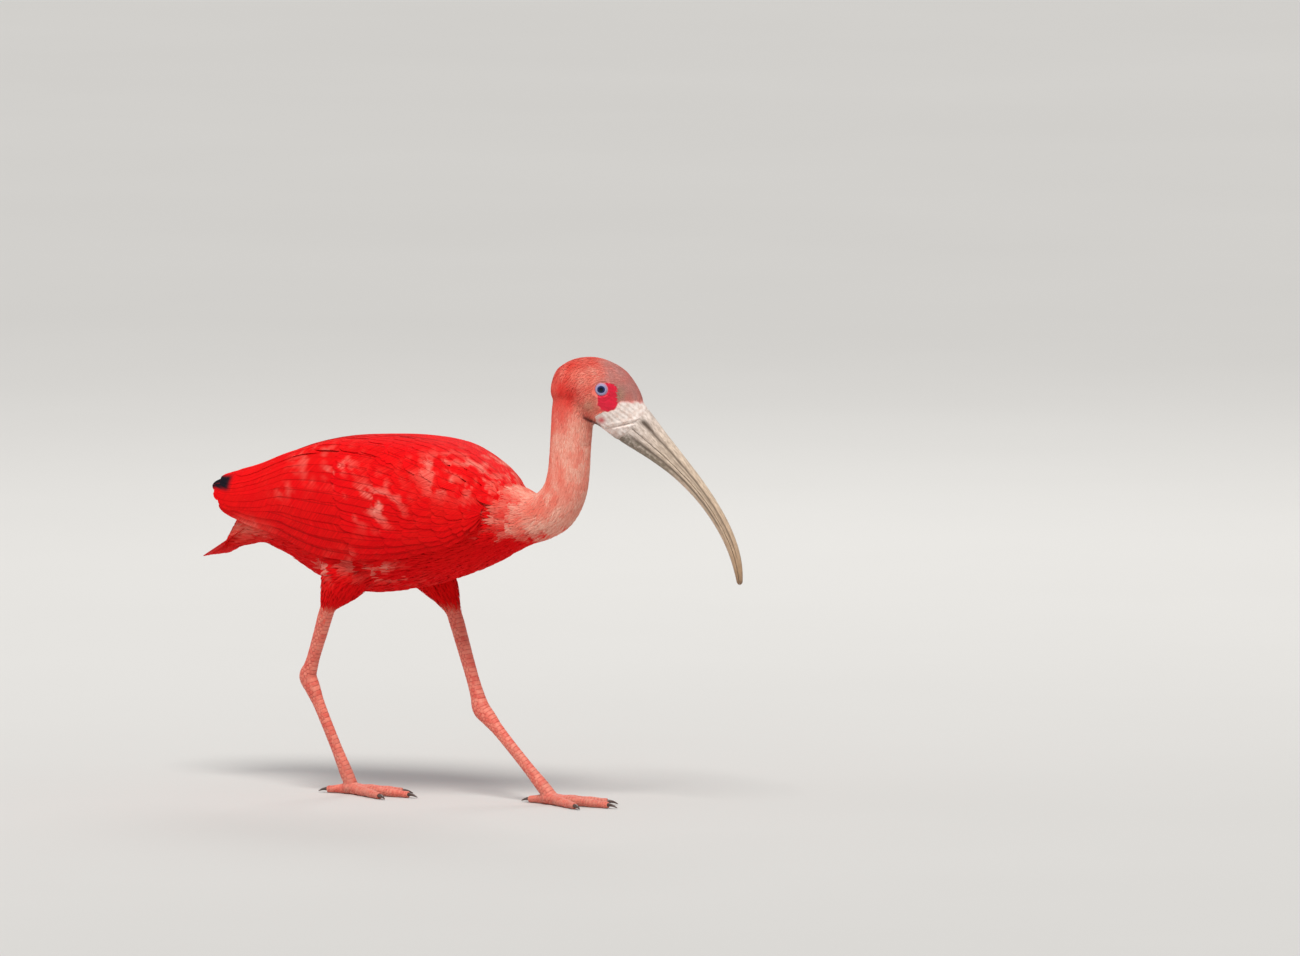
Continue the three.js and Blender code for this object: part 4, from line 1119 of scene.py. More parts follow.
def locks(name, roots, length, width, lift, slot, seed, thick, fan=1, spread=0.0, segments=3, sway=0.12):
    """Tapered closed locks that lie along the coat. Fan is how many share a root, and spread their angle."""
    draw = np.random.default_rng(seed)
    roots, normals = on_skin(roots)
    way = lie(roots, normals)
    count, total = len(roots), len(roots) * fan
    length, width = length * draw.uniform(0.85, 1.15, count), width * draw.uniform(0.85, 1.15, count)
    lift = lift * draw.uniform(0.8, 1.2, count)
    chance = draw.random(count)
    turns = np.tile(np.linspace(-1, 1, fan) if fan > 1 else np.zeros(1), count)
    pick = np.repeat(np.arange(count), fan)
    root, normal, way = roots[pick], normals[pick], way[pick]
    side = np.cross(normal, way)
    turn = np.radians(turns * spread + draw.normal(0, 5, total))[:, None]
    way = way * np.cos(turn) + side * np.sin(turn)
    long = length[pick] * (1 - 0.22 * np.abs(turns)) * draw.uniform(0.9, 1.1, total)
    wide = width[pick] * draw.uniform(0.8, 1.2, total)
    high = lift[pick] * (1 - 0.25 * np.abs(turns))
    root = root + side * (turns * width[pick] * 0.5)[:, None]
    bend = draw.normal(0, sway, total)

    # The middle line, laid over the skin step by step
    shares = np.linspace(0, 1, segments + 1)
    rise = np.sin(np.clip(shares * 1.25, 0, 1) * np.pi / 2) ** 0.8 * (1 - 0.28 * shares ** 2)
    centre, out = [root - normal * ROOT_DEPTH], [normal]
    at, up, heading = root, normal, way
    for k in range(1, segments + 1):
        heading = unit(heading - up * np.sum(heading * up, axis=1, keepdims=True))
        heading = unit(heading + np.cross(up, heading) * (bend / segments)[:, None])
        at, up = on_skin(at + heading * (long / segments)[:, None])
        out.append(up)
        centre.append(at + up * (high * rise[k])[:, None])
    centre, out = np.stack(centre, axis=1), np.stack(out, axis=1)
    ahead = unit(np.diff(centre, axis=1))
    across = unit(np.cross(out, np.concatenate([ahead, ahead[:, -1:]], axis=1)))[:, :-1]

    # A left, a top and a right point for each step, then the tip
    shape = np.array(LOCK_SHAPES[segments])
    half = (wide[:, None] * shape / 2)[..., None]
    body, over = centre[:, :-1], out[:, :-1]
    ridge = over * (thick * shape)[:, None]
    rings = np.stack([body - across * half, body + ridge, body + across * half], axis=2)
    points = np.concatenate([rings.reshape(total, -1, 3), centre[:, -1:]], axis=1)
    lean = SIDE_LEAN * across
    soft = np.stack([over - lean, over, over + lean], axis=2).reshape(total, -1, 3)
    back = TIP_LEAN * np.concatenate([np.repeat(ahead, 3, axis=1), -ahead[:, -1:]], axis=1)
    soft = unit(np.concatenate([soft, out[:, -1:]], axis=1) - back)
    each = points.shape[1]
    quads, triangles = (repeated(faces, total, each) for faces in lock_faces(segments))

    along = np.append(np.repeat(shares[:-1], 3), 1.0)
    place = np.append(np.tile([0.0, 0.5, 1.0], segments), 0.5)
    tint = chance[pick][:, None] * 0.7 + 0.3 * draw.random(total)[:, None]
    barb = 0.37 * np.arange(total)[:, None] % 5.0
    barb = barb + 0.01 * place * wide[:, None] + 0.0006 * along * long[:, None]
    marks, tones = markings(root)
    marks[:, 1] *= draw.uniform(0.55, 1.25, count)[pick]
    tones[:, 3] = 0
    marks, tones = np.repeat(marks, each, axis=0), np.repeat(tones, each, axis=0)
    marks[:, 2] = markings(points)[0][:, 2]
    made = make_mesh(name, points, quads, triangles, plumage,
                     {"mark": marks, "tone": tones, "vane": together(along, place, tint, barb)},
                     patch_uv(root, place, along), soft)
    dressed(made, slot)


def wing_cover(p):
    """How deep a point lies under the folded wing, from 0 outside to 1 well inside."""
    x, angle = p[:, 0], trunk_angle(p)
    inside = np.minimum(angle - wing_angle(x, 0.0), wing_angle(x, 1.0) - angle)
    return step_between(0, 8, inside) * step_between(WRIST_X, WRIST_X - 10, x) * step_between(-150, -130, x)


def thigh_zone(leg):
    def wanted(p):
        height = (p[:, 2] < 158) & (p[:, 2] > leg["end"][2] - 4)
        return height & (p[:, 1] * leg["side"] > 6) & (off_thigh(p, leg) < 24)
    return wanted


def body_zone(low_x, high_x, high_side):
    def wanted(p):
        up = np.sin(along_body(p)[1]) > 0.25
        inside = (p[:, 0] >= low_x) & (p[:, 0] < high_x) & (p[:, 2] > 132) & (wing_cover(p) < 0.9)
        for leg in LEGS.values():
            inside &= ~thigh_zone(leg)(p)
        return inside & (up == high_side)
    return wanted


def wrist_zone(p):
    return (p[:, 0] > 77) & (p[:, 0] < 98) & (trunk_angle(p) > -34) & (trunk_angle(p) < 62)


def neck_zone(low_z, high_z):
    def wanted(p):
        s, z = to_head(p)[:, 0], p[:, 2]
        below_head = ((z < 288) | (s < -3)) & ~((s > 4) & (z > 256))
        return (p[:, 0] >= 90) & below_head & (z >= low_z) & (z < high_z)
    return wanted


def head_zone(p):
    s, side, z = to_head(p).T
    mouth = (np.abs(z - mouth_line(s)) < 1.4) & (s > 8)
    eye = (np.hypot(s - EYE_S, z - EYE_Z) < EYE_RADIUS) & (np.abs(side) > 8)
    on_head = (p[:, 0] > 128) & ((z > 288) | (s > 4)) & (z > 256) & (s < 54)
    return on_head & ~mouth & ~eye & (markings(p)[1][:, 3] < 0.4)


def even(size, closer=0.0):
    """A spacing, which gets closer on the breast by the second number."""
    return lambda p: size - closer * step_between(50, 85, p[:, 0])


def neck_spacing(p):
    return 1.0 + 0.5 * step_between(230, 190, p[:, 2])


def head_spacing(p):
    return 0.9 - 0.24 * step_between(2, 24, to_head(p)[:, 0])


# Each zone of the trunk: its ends in x, whether it is the upper side, and the locks' spacing
BODY_ZONES = [
    ("rump", -152, -45, True, 5.0), ("back", -45, 30, True, 5.0), ("mantle", 30, 104, True, 3.05),
    ("vent", -152, -55, False, 3.05), ("belly", -55, 20, False, 3.05), ("breast", 20, 104, False, 3.05),
]
NECK_ZONES = [("neck_low", 0, 204), ("neck_middle", 204, 232), ("neck_high", 232, 300)]

for number, (zone, low_x, high_x, high_side, gap) in enumerate(BODY_ZONES):
    roots = spread_over(body_zone(low_x, high_x, high_side), even(gap, 0.8), 100 + number)
    front, rear = step_between(60, 100, roots[:, 0]), step_between(-70, -125, roots[:, 0])
    locks("coat_" + zone, roots, 14.5 - 4 * front + 9 * rear, 2.5 - 0.7 * front + 0.5 * rear,
          2.3 - 0.9 * front, "scarlet_plumage", 200 + number, 0.3, fan=5, spread=15, segments=4)

roots = spread_over(wrist_zone, even(2.9), 131)
front = step_between(78, 92, roots[:, 0])
locks("coat_wrist", roots, 10.5 - 1.5 * front, 2.0, 2.1 + 0.3 * front, "scarlet_plumage", 231, 0.25,
      fan=5, spread=17, segments=4)

for number, (zone, low_z, high_z) in enumerate(NECK_ZONES):
    roots = spread_over(neck_zone(low_z, high_z), neck_spacing, 301 + number)
    small = step_between(205, 275, roots[:, 2])
    locks("coat_" + zone, roots, 10.5 - 3 * small, 1.8 - 0.4 * small, 1.1 - 0.45 * small, "neck_plumage",
          305 + number, 0.16, fan=2, spread=7, sway=0.22)

roots = spread_over(head_zone, head_spacing, 311)
front = step_between(0, 30, to_head(roots)[:, 0])
locks("coat_head", roots, 5.6 - 3.2 * front, 0.84 - 0.26 * front, 0.54 - 0.26 * front, "head_plumage", 312,
      0.11, sway=0.25)

for name, leg in LEGS.items():
    roots = spread_over(thigh_zone(leg), even(2.2), 321 + leg["side"])
    low = step_between(160, 132, roots[:, 2])
    locks("coat_thigh_" + name, roots, 13 - 4 * low, 1.9 - 0.5 * low, 1.9 - 0.8 * low, "scarlet_plumage",
          325 + leg["side"], 0.25, fan=3, spread=13, segments=4)


# Vanes: the feathers of the wings and the tail, one by one

VANE_ROWS, LONG_VANE_ROWS = 16, 40
VANE_ACROSS = np.array([-1.0, -0.62, -0.22, 0.0, 0.22, 0.62, 1.0])
VANE_CAMBER, VANE_THICKNESS, VANE_TILT = 0.2, 0.16, 0.38
SHAFT_RIDGE, SHAFT_WIDTH = 0.12, 0.12
FRAY, NOTCH, NOTCH_CHANCE = 0.05, 0.14, 0.05


def vane_shape(q, blunt):
    """Half the width of a vane along its length, against its widest."""
    body = np.interp(q, [0, 0.12, 0.35, 0.75], [0.45, 0.8, 1.0, 0.97])
    end = np.clip((q - blunt) / (1 - blunt), 0, 1)
    return body * np.sqrt(np.maximum(1 - end ** 2.3, 0.004))


def vane_faces(rows, columns, turned):
    """The quads and triangles of one vane, whose two faces share their side edges."""
    grid, inner = rows * columns, rows * (columns - 2)
    index = np.arange(grid).reshape(rows, columns)
    under = index.copy()
    under[:, 1:-1] = grid + np.arange(inner).reshape(rows, columns - 2)
    top = np.stack([index[:-1, :-1], index[:-1, 1:], index[1:, 1:], index[1:, :-1]], axis=-1)
    bottom = np.stack([under[:-1, :-1], under[1:, :-1], under[1:, 1:], under[:-1, 1:]], axis=-1)
    quads, triangles = top.reshape(-1, 4).tolist() + bottom.reshape(-1, 4).tolist(), []
    for k in range(columns - 1):
        for ring in ((index[0, k + 1], index[0, k], under[0, k], under[0, k + 1]),
                     (index[-1, k], index[-1, k + 1], under[-1, k + 1], under[-1, k])):
            ring = list(dict.fromkeys(ring))
            (quads if len(ring) == 4 else triangles).append(ring)
    quads, triangles = np.array(quads), np.array(triangles)
    return turned_over(quads, triangles) if turned else (quads, triangles)


def vanes(name, place, roots, sizes, slot, seed, blunt, thick=VANE_THICKNESS, steps=VANE_ROWS):
    """Closed feather vanes. Place gives a point from a feather's number, how far along and how far across."""
    draw = np.random.default_rng(seed)
    count, rows, columns = len(sizes), steps + 1, len(VANE_ACROSS)
    number = np.arange(count)[:, None, None]
    q = (1 - (1 - np.linspace(0, 1, rows)) ** 1.5)[:, None]
    a = VANE_ACROSS
    notch = 1 - FRAY * draw.random((count, rows, 2))
    notch = notch - NOTCH * (draw.random((count, rows, 2)) > 1 - NOTCH_CHANCE)
    notch[:, :3] = 1
    edge = np.where(np.abs(a) == 1, np.where(a < 0, notch[..., :1], notch[..., 1:]), 1)
    reach = a * vane_shape(q, blunt) * edge
    curve = VANE_CAMBER * (1 - reach ** 2) + SHAFT_RIDGE * hill(a, 0, SHAFT_WIDTH) * (1 - q)
    upper = place(number, q, reach, curve)
    lower = place(number, q, reach, curve - thick * (1 - 0.6 * q) * (np.abs(a) < 1))
    out = unit(place(number, q, reach, curve + 1) - upper)
    across_face = unit(np.cross(np.gradient(upper, axis=1), np.gradient(upper, axis=2)))
    facing = np.sign(np.sum(across_face * out))
    normals = unit(across_face * facing * 0.65 + out * 0.35)

    def both(top, under):
        """Values of the upper face, then of the lower one without the edges they share."""
        parts = [values.reshape(count, -1, values.shape[-1]) for values in (top, under[:, :, 1:-1])]
        return np.concatenate(parts, axis=1)

    points = both(upper, lower)
    grid = together(number, q, a)[..., 1:]
    along, across = np.moveaxis(both(grid, grid), -1, 0)
    spot_across = across * 0.5 + 0.5
    chance = draw.random(count)[:, None]
    barb = along * sizes[:, None] * 0.01 - np.abs(across) * 0.05 + 3 * draw.random(count)[:, None]
    marks, tones = markings(points)
    marks[:, 0] *= 0.4
    marks[:, 1] *= 0.8 * np.clip(0.25 + 1.1 * along.ravel(), 0, 1)
    quads, triangles = (repeated(f, count, points.shape[1]) for f in vane_faces(rows, columns, facing > 0))
    made = make_mesh(name, points, quads, triangles, vane_plumage,
                     {"mark": marks, "tone": 0 * tones, "vane": together(along, spot_across, chance, barb)},
                     patch_uv(roots, spot_across, along), both(normals, -normals))
    dressed(made, slot)


def degree_length(x, angle):
    """How many millimetres one degree round the trunk is."""
    return np.linalg.norm(on_trunk(x, angle + 1) - on_trunk(x, angle - 1), axis=-1) / 2


# The wing's tiers: how many, shares of the wing's height, x of the roots, x of the tips of the lowest,
# middle and highest feather, height of the tips off the wing, overlap, and how blunt the ends are
WING_TIERS = [
    ("secondaries", 14, 0.05, 0.93, 12, (-138, -146, -130), 1.4, 2.1, 0.88),
    ("greater_coverts", 16, 0.05, 0.88, 46, (-8, -24, -30), 1.75, 1.8, 0.82),
    ("median_coverts", 16, 0.05, 0.88, 60, (22, 10, 4), 1.75, 1.85, 0.8),
    ("lesser_coverts_1", 16, 0.06, 0.9, 70, (40, 31, 26), 1.8, 1.9, 0.76),
    ("lesser_coverts_2", 16, 0.06, 0.92, 77, (52, 46, 42), 1.85, 1.95, 0.74),
    ("lesser_coverts_3", 14, 0.06, 0.94, 82, (63, 58, 55), 1.85, 1.95, 0.72),
    ("lesser_coverts_4", 12, 0.05, 0.95, 86, (73, 69, 66), 1.8, 2.0, 0.7),
    ("lesser_coverts_5", 9, 0.05, 0.95, 89, (81, 78, 76), 1.7, 2.0, 0.7),
    ("tertials", 6, 0.82, 0.98, 40, (-52, -74, -104), 1.5, 2.7, 0.86),
]
LONG_TIER = 80
SECONDARY_WIDTH = 11.5
TIER_ROOT_DEPTH, TIER_LIFT = 1.6, 0.9


def across_tips(tips, count):
    return profile(list(zip((0, 0.5, 1), tips)))(np.linspace(0, 1, count))


def wing_tier(side, tier, seed):
    name, count, low, high, root_x, tips, rise, overlap, blunt = tier
    draw = np.random.default_rng(seed)
    step = (high - low) / (count - 1)
    shares = np.linspace(low, high, count) + draw.normal(0, 0.1 / count * (high - low), count)
    tip_x = across_tips(tips, count) + draw.normal(0, 1.5, count)
    reach = root_x - tips[1]
    extra_lift, lean = draw.normal(0, 0.06, count), draw.normal(0, 0.5, count)
    least_width = SECONDARY_WIDTH if name == "secondaries" else 0

    def place(number, q, across, curve):
        x = root_x + (tip_x[number] - root_x) * q
        share = shares[number]
        height = (wing_angle(x, 1.0) - wing_angle(x, 0.0)) * degree_length(x, wing_angle(x, 0.5))
        width = np.maximum(overlap * height * step, least_width * step_between(-20, -100, x))
        angle = wing_angle(x, share)
        off = across * width / 2 + lean[number] * q
        up = step_between(0, min(26, reach * 0.5), root_x - x)
        further = np.clip((root_x - x - reach * 0.3) / (reach * 0.7), 0, 1)
        lift = plate_lift(x, share) - TIER_ROOT_DEPTH + (TIER_ROOT_DEPTH + TIER_LIFT) * up
        lift = lift + (rise - TIER_LIFT) * further + extra_lift[number] - VANE_TILT * across + curve
        lift = lift + 0.11 * number * step_between(-40, -110, x)
        p = on_trunk(x, angle + off / degree_length(x, angle), lift)
        p[..., 1] = side * np.maximum(p[..., 1], 0.4 + 0.15 * (number % 3))
        return p

    roots = mirrored(on_trunk(root_x, wing_angle(root_x, shares)), side)
    vanes(f"{name}_{SIDE_NAMES[side]}", place, roots, root_x - tip_x, "scarlet_plumage", seed + 7, blunt,
          steps=VANE_ROWS if reach < LONG_TIER else LONG_VANE_ROWS)


PRIMARIES, PRIMARY_ROOT_X, PRIMARY_TIPS = 7, -96, (-133, -138, -140)
PRIMARY_HALF_WIDTH = 4.4


def primaries(side, seed):
    shares = np.linspace(0.5, 0.95, PRIMARIES)
    tips = across_tips(PRIMARY_TIPS, PRIMARIES)

    def place(number, q, across, curve):
        x = PRIMARY_ROOT_X + (tips[number] - PRIMARY_ROOT_X) * q
        angle = wing_angle(x, shares[number])
        lift = 2.2 - 0.28 * number - 0.3 * across + curve * 0.6
        p = on_trunk(x, angle + across * PRIMARY_HALF_WIDTH / degree_length(x, angle), lift)
        p[..., 1] = side * np.maximum(p[..., 1], 0.3)
        return p

    roots = mirrored(on_trunk(PRIMARY_ROOT_X, wing_angle(PRIMARY_ROOT_X, shares)), side)
    vanes(f"primaries_{SIDE_NAMES[side]}", place, roots, PRIMARY_ROOT_X - tips, "black_plumage", seed, 0.6)


# Mantle and scapular feathers lie over the back and the wing's upper edge, in rows from the neck
# backwards: x of the roots and of the tips, and how many on a side
BACK_ROWS = [
    (-74, -132, 5), (-56, -112, 5), (-34, -86, 5), (-14, -62, 6), (6, -38, 6), (24, -14, 7), (40, 8, 7),
    (54, 26, 8), (67, 42, 8), (78, 56, 8), (88, 68, 9), (96, 79, 9),
]
MANTLE_X = 45
# Each row reaches from a share of the wing's height to just over the back's middle. In front of the
# shoulder it keeps the wing's angles at the shoulder
BACK_LOW_SHARE, BACK_TOP_ANGLE, SHOULDER_X = 0.78, 93, 64
BACK_ROOT_LIFT, BACK_TIP_LIFT, OVER_COVERTS = -3.0, 0.5, 2.1


def back_row(side, row, seed):
    root_x, tip_x, count = row
    draw = np.random.default_rng(seed)
    shares = np.linspace(0, 1, count) + draw.normal(0, 0.12 / count, count)
    tips = tip_x + draw.normal(0, 2, count) + 6 * np.cos(shares * np.pi)

    def place(number, q, across, curve):
        x = root_x + (tips[number] - root_x) * q
        at = np.minimum(x, SHOULDER_X)
        low, over_wing, top = (wing_angle(at, share) for share in (0, BACK_LOW_SHARE, 1))
        span = BACK_TOP_ANGLE - over_wing
        angle = over_wing + span * shares[number]
        breadth = degree_length(x, angle)
        width = np.maximum(2.0 * span * breadth / (count - 1), 9)
        turned = np.minimum(angle + across * width / 2 / breadth, 180)
        on_wing = step_between(26, 2, turned - top) * step_between(WRIST_X + 2, WRIST_X - 14, x)
        plate = plate_lift(x, np.clip((turned - low) / (top - low), 0, 1))
        root_lift = BACK_ROOT_LIFT + (plate + 2.6) * on_wing
        tip_lift = BACK_TIP_LIFT + (plate + OVER_COVERTS - BACK_TIP_LIFT) * on_wing
        lift = root_lift + (tip_lift - root_lift) * step_between(0, 0.5, q)
        return mirrored(on_trunk(x, turned, lift - VANE_TILT * across + curve), side)

    root_angles = wing_angle(min(root_x, SHOULDER_X), BACK_LOW_SHARE + 0.2 * shares)
    roots = mirrored(on_trunk(root_x, root_angles), side)
    name = f"{'scapulars' if root_x < MANTLE_X else 'mantle'}_{100 - root_x}_{SIDE_NAMES[side]}"
    vanes(name, place, roots, root_x - tips, "scarlet_plumage", seed + 3, 0.76)


TAIL_FEATHERS, TAIL_FEATHER_START = 6, 4.0


def tail_feathers(side, seed):
    draw = np.random.default_rng(seed)
    tips = TAIL_LENGTH - np.arange(TAIL_FEATHERS) * 1.2 + draw.normal(0, 0.5, TAIL_FEATHERS)

    def place(number, q, across, curve):
        along = TAIL_FEATHER_START + (tips[number] - TAIL_FEATHER_START) * q
        y = side * (1.6 + 2.5 * number) * (0.5 + 0.5 * q) + across * (6.0 + 0.2 * number)
        level = -number * 0.26 - (0.16 if side < 0 else 0) + 0.012 * np.abs(y) ** 1.5
        return in_tail(along, y, level + 0.12 * side * across + curve * 0.6)

    roots = in_tail(TAIL_FEATHER_START, side * (2.0 + np.arange(TAIL_FEATHERS)), 0)
    vanes(f"tail_feathers_{SIDE_NAMES[side]}", place, roots, tips, "scarlet_plumage", seed, 0.8, thick=0.18)


for side, seed in ((1.0, 500), (-1.0, 600)):
    primaries(side, seed)
    for number, tier in enumerate(WING_TIERS):
        wing_tier(side, tier, seed + 10 * number)
    for number, row in enumerate(BACK_ROWS):
        back_row(side, row, seed + 200 + 10 * number)
for side, seed in ((1.0, 700), (-1.0, 720)):
    tail_feathers(side, seed)


# The bill, in two halves that meet at the line of the mouth

BILL_RINGS, BILL_SIDES = 170, 72
MOUTH_FACES = 10
BILL_TIP_START = 0.982
# The bands of furrows: height, width, share along the bill where each begins, is full, fades and ends
UPPER_LINE = (0.46, 0.10, 0.03, 0.07, 0.8, 0.93)
SECOND_LINE = (0.15, 0.09, 0.12, 0.3, 0.7, 0.9)
LOWER_LINE = (-0.5, 0.12, 0.02, 0.1, 0.6, 0.85)
NOSTRIL = (0.5, 0.085, 0.095, 0.032)


def bill_path():
    share = np.linspace(0, 1, BILL_RINGS + 1)
    slope = np.radians(bill_slope((share[:-1] + share[1:]) / 2))
    step = BILL_LENGTH / BILL_RINGS
    s = BILL_START[0] + np.append(0, np.cumsum(np.cos(slope))) * step
    z = BILL_START[1] - np.append(0, np.cumsum(np.sin(slope))) * step
    return share, s, z, np.radians(-bill_slope(share))


def furrow_band(high, q, line, drop=0.0):
    """How deep a furrow along the bill is, for the height on its side and the share of its length."""
    height, width, begin, full, fade, end = line
    return hill(high, height - drop, width) * step_between(begin, full, q) * step_between(end, fade, q)


def bill_half(upper):
    """One half of the bill's horn, closed along the mouth."""
    q, s, z, tilt = (values[:, None] for values in bill_path())
    tip = np.sqrt(np.maximum(1 - np.clip((q - BILL_TIP_START) / (1 - BILL_TIP_START), 0, 1) ** 2, 0.02))
    tucked = 0.955 + 0.045 * step_between(0.02, 0.05, q)
    depth, width = bill_half_depth(q) * tip * tucked, bill_half_width(q) * tip * tucked
    gap = MOUTH_HALF_GAP if upper else -MOUTH_HALF_GAP
    edge = np.arcsin(np.clip((MOUTH_HEIGHT * depth + gap) / depth, -1, 1))
    sweep = np.pi - 2 * edge if upper else -(np.pi + 2 * edge)
    angle = edge + np.linspace(0, 1, BILL_SIDES // 2 + 1) * sweep
    across, rise = on_section(angle, width, depth, depth, HEAD_POWER)
    high = rise / depth
    on_side = np.abs(np.cos(angle)) > 0.2
    if upper:
        furrow = furrow_band(high, q, UPPER_LINE, 0.10 * step_between(0.1, 0.7, q))
        furrow = np.maximum(furrow, 0.55 * furrow_band(high, q, SECOND_LINE)) * on_side
        slit = hill(high, *NOSTRIL[:2]) * hill(q, *NOSTRIL[2:], power=4) * on_side
    else:
        furrow = furrow_band(high, q, LOWER_LINE) * on_side
        slit = 0
    grain = value_noise(together(q * 14, high * 5, 3 if upper else 7), 0.5, 31)
    pits = value_noise(together(q * BILL_LENGTH, across, rise), 2.2, 33)
    dig = 0.085 * furrow + 0.30 * slit + 0.012 * grain * step_between(0.1, 0.3, q) + 0.008 * pits
    rise = rise * (1 - dig * 0.35)
    ring = together(s - rise * np.sin(tilt), across * (1 - dig), z + rise * np.cos(tilt))
    first, last = ring[:, :1], ring[:, -1:]
    closing = last + (first - last) * np.linspace(0, 1, MOUTH_FACES + 2)[1:-1, None]
    points, quads, fans = loft(np.concatenate([ring, closing], axis=1))
    if not upper:
        quads, fans = turned_over(quads, fans)
    # The third value darkens the furrows and the nostril in the material: painted shade.
    horn = together(q, high, np.clip(furrow + 1.6 * slit, 0, 1), 0 if upper else 1)
    horn = with_ends(np.concatenate([horn, np.repeat(horn[:, :1], MOUTH_FACES, axis=1)], axis=1))
    name = "upper" if upper else "lower"
    made = make_mesh("bill_horn_" + name, from_head(points), quads, fans, horn_bill, {"horn": horn})
    dressed(made, "bill_horn", "bill_" + name)


def with_ends(rows):
    """Values of a loft's points with those of its two end points."""
    values = rows.reshape(-1, rows.shape[-1])
    return np.vstack([values, values[:1], values[-1:]])


horn_bill = bill_material()
bill_half(True)
bill_half(False)


# Eyes and the bare rings round them

EYE_ROWS, EYE_TURNS, EYE_POLE = 40, 48, 0.02
CORNEA, CORNEA_WIDTH, IRIS_EDGE = 0.25, 0.42, 0.62
LID_ROWS, LID_TURNS = 15, 96
LID_HEIGHT, LID_BEADS, LID_BACK = 4.92, 22, 1.1
lid_skin = lid_material()
wet_eye = eye_material()


def beside_head(side, s, out, z):
    return from_head(together(s, side * out, z))


def eyeball(name, side):
    tilt, turn = np.linspace(EYE_POLE, np.pi - EYE_POLE, EYE_ROWS)[:, None], round_turn(EYE_TURNS)
    radius = EYE_RADIUS * (1 - 0.04 * step_between(0.9, 0.3, tilt)) + CORNEA * hill(tilt, 0, CORNEA_WIDTH)
    wide, out = radius * np.sin(tilt), EYE_SIDE + radius * np.cos(tilt)
    ball = beside_head(side, EYE_S + wide * np.cos(turn), out, EYE_Z + wide * np.sin(turn))
    points, quads, fans = loft(ball)
    if side > 0:
        quads, fans = turned_over(quads, fans)
    mark = with_ends(together(np.clip(tilt / IRIS_EDGE, 0, 1), turn / (2 * np.pi), 0, 1))
    dressed(make_mesh("eyeball_" + name, points, quads, fans, wet_eye, {"eye": mark}), "eye", "eye_" + name)


def lids(name, side):
    """The beaded and folded ring round the eye, with its back inside the socket."""
    across, turn = np.linspace(0, 1, LID_ROWS)[:, None], round_turn(LID_TURNS)
    inner = LID_INNER + 0.12 * np.cos(2 * turn)
    reach = inner + (LID_OUTER - inner) * across
    s, z = EYE_S + reach * np.cos(turn), EYE_Z + reach * np.sin(turn)
    fold = 0.09 * np.sin(across * np.pi * 5.0) * step_between(0.1, 0.3, across)
    beads = 0.07 * np.maximum(np.sin(turn * LID_BEADS), 0) * hill(across, 0.12, 0.12)
    creases = 0.05 * value_noise(together(np.cos(turn) * 6, np.sin(turn) * 6, across * 6), 0.8, 51)
    swell = 0.25 * np.sin(np.clip(across * 1.3, 0, 1) * np.pi) - 0.3 * across - 1.5 * across ** 2
    out = EYE_SIDE + LID_HEIGHT + swell + fold + beads + creases
    front, back = beside_head(side, s, out, z), beside_head(side, s, out - LID_BACK - 1.2 * across, z)
    ring = np.concatenate([front, back[::-1]])
    index = np.arange(ring[..., 0].size).reshape(ring.shape[:2])
    further, beside = np.roll(index, -1, axis=0), np.roll(index, -1, axis=1)
    quads = np.stack([index, beside, np.roll(further, -1, axis=1), further], axis=-1).reshape(-1, 4)
    mark = together(across, turn / (2 * np.pi), 0, 1)
    mark = np.concatenate([mark, mark[::-1]])
    made = make_mesh("lids_" + name, ring, quads if side > 0 else quads[:, ::-1], (), lid_skin, {"lid": mark})
    dressed(made, "head_plumage")


for side, name in SIDE_NAMES.items():
    eyeball(name, side)
    lids(name, side)


# Legs, feet and claws

LIMB_STEP, LIMB_SIDES, TOE_SIDES, CLAW_SIDES = 1.5, 36, 28, 20
SHANK_START = (10, 4.6)
# The limb's rings below the thigh: share of the way from one joint to the next, radius and flatness
SHANK_RINGS = [(0.04, SHANK_RADIUS[0] * 0.97, 1), (0.35, SHANK_RADIUS[0] * 0.9, 1),
               (0.7, SHANK_RADIUS[1] * 0.97, 1), (0.86, SHANK_RADIUS[1] * 1.08, 1), (1, ANKLE_RADIUS, 0.84)]
TARSUS_RINGS = [(0.1, TARSUS_RADIUS[0] * 1.1, 0.86), (0.25, TARSUS_RADIUS[1] * 1.05, 0.85),
                (0.65, TARSUS_RADIUS[1] * 0.98, 0.85), (0.88, TARSUS_RADIUS[2] * 1.02, 0.95),
                (1, TARSUS_RADIUS[2] * 1.02, 1)]
WEBS = (("middle", "inner"), ("middle", "outer"))
WEB_LOW, WEB_HIGH, WEB_CUT = 1.2, 3.2, 0.28
SOLE_LENGTH, SOLE_WIDTH, SOLE_HEIGHT = 7.2, 6.2, 4.4
CLAW_ROOT_RADIUS, CLAW_TIP_RADIUS, CLAW_FLATNESS = 1.75, 0.22, 0.74
CLAW_TUCK, CLAW_ROOT_HEIGHT, CLAW_DROP, CLAW_FLOOR = 0.9, 2.5, 1.75, 0.25


def limb_rows(leg):
    """The middle line of the shank and the tarsus with its depth and width."""
    end, ankle, heel = leg["end"], leg["ankle"], leg["foot"] + [0, 0, FOOT_HEIGHT]
    inside, radius = SHANK_START
    rows = [(*(end - unit(end - leg["thigh"][-2, :3]) * inside), radius, radius)]
    for start, stop, rings in ((end, ankle, SHANK_RINGS), (ankle, heel, TARSUS_RINGS)):
        rows += [(*(start + (stop - start) * share), radius, radius * flat) for share, radius, flat in rings]
    return smooth_path(rows, LIMB_STEP)


def toe_way(leg, toe):
    turn = math.radians(TOES[toe][0] * leg["side"])
    return np.array([math.cos(turn), math.sin(turn), 0.0])


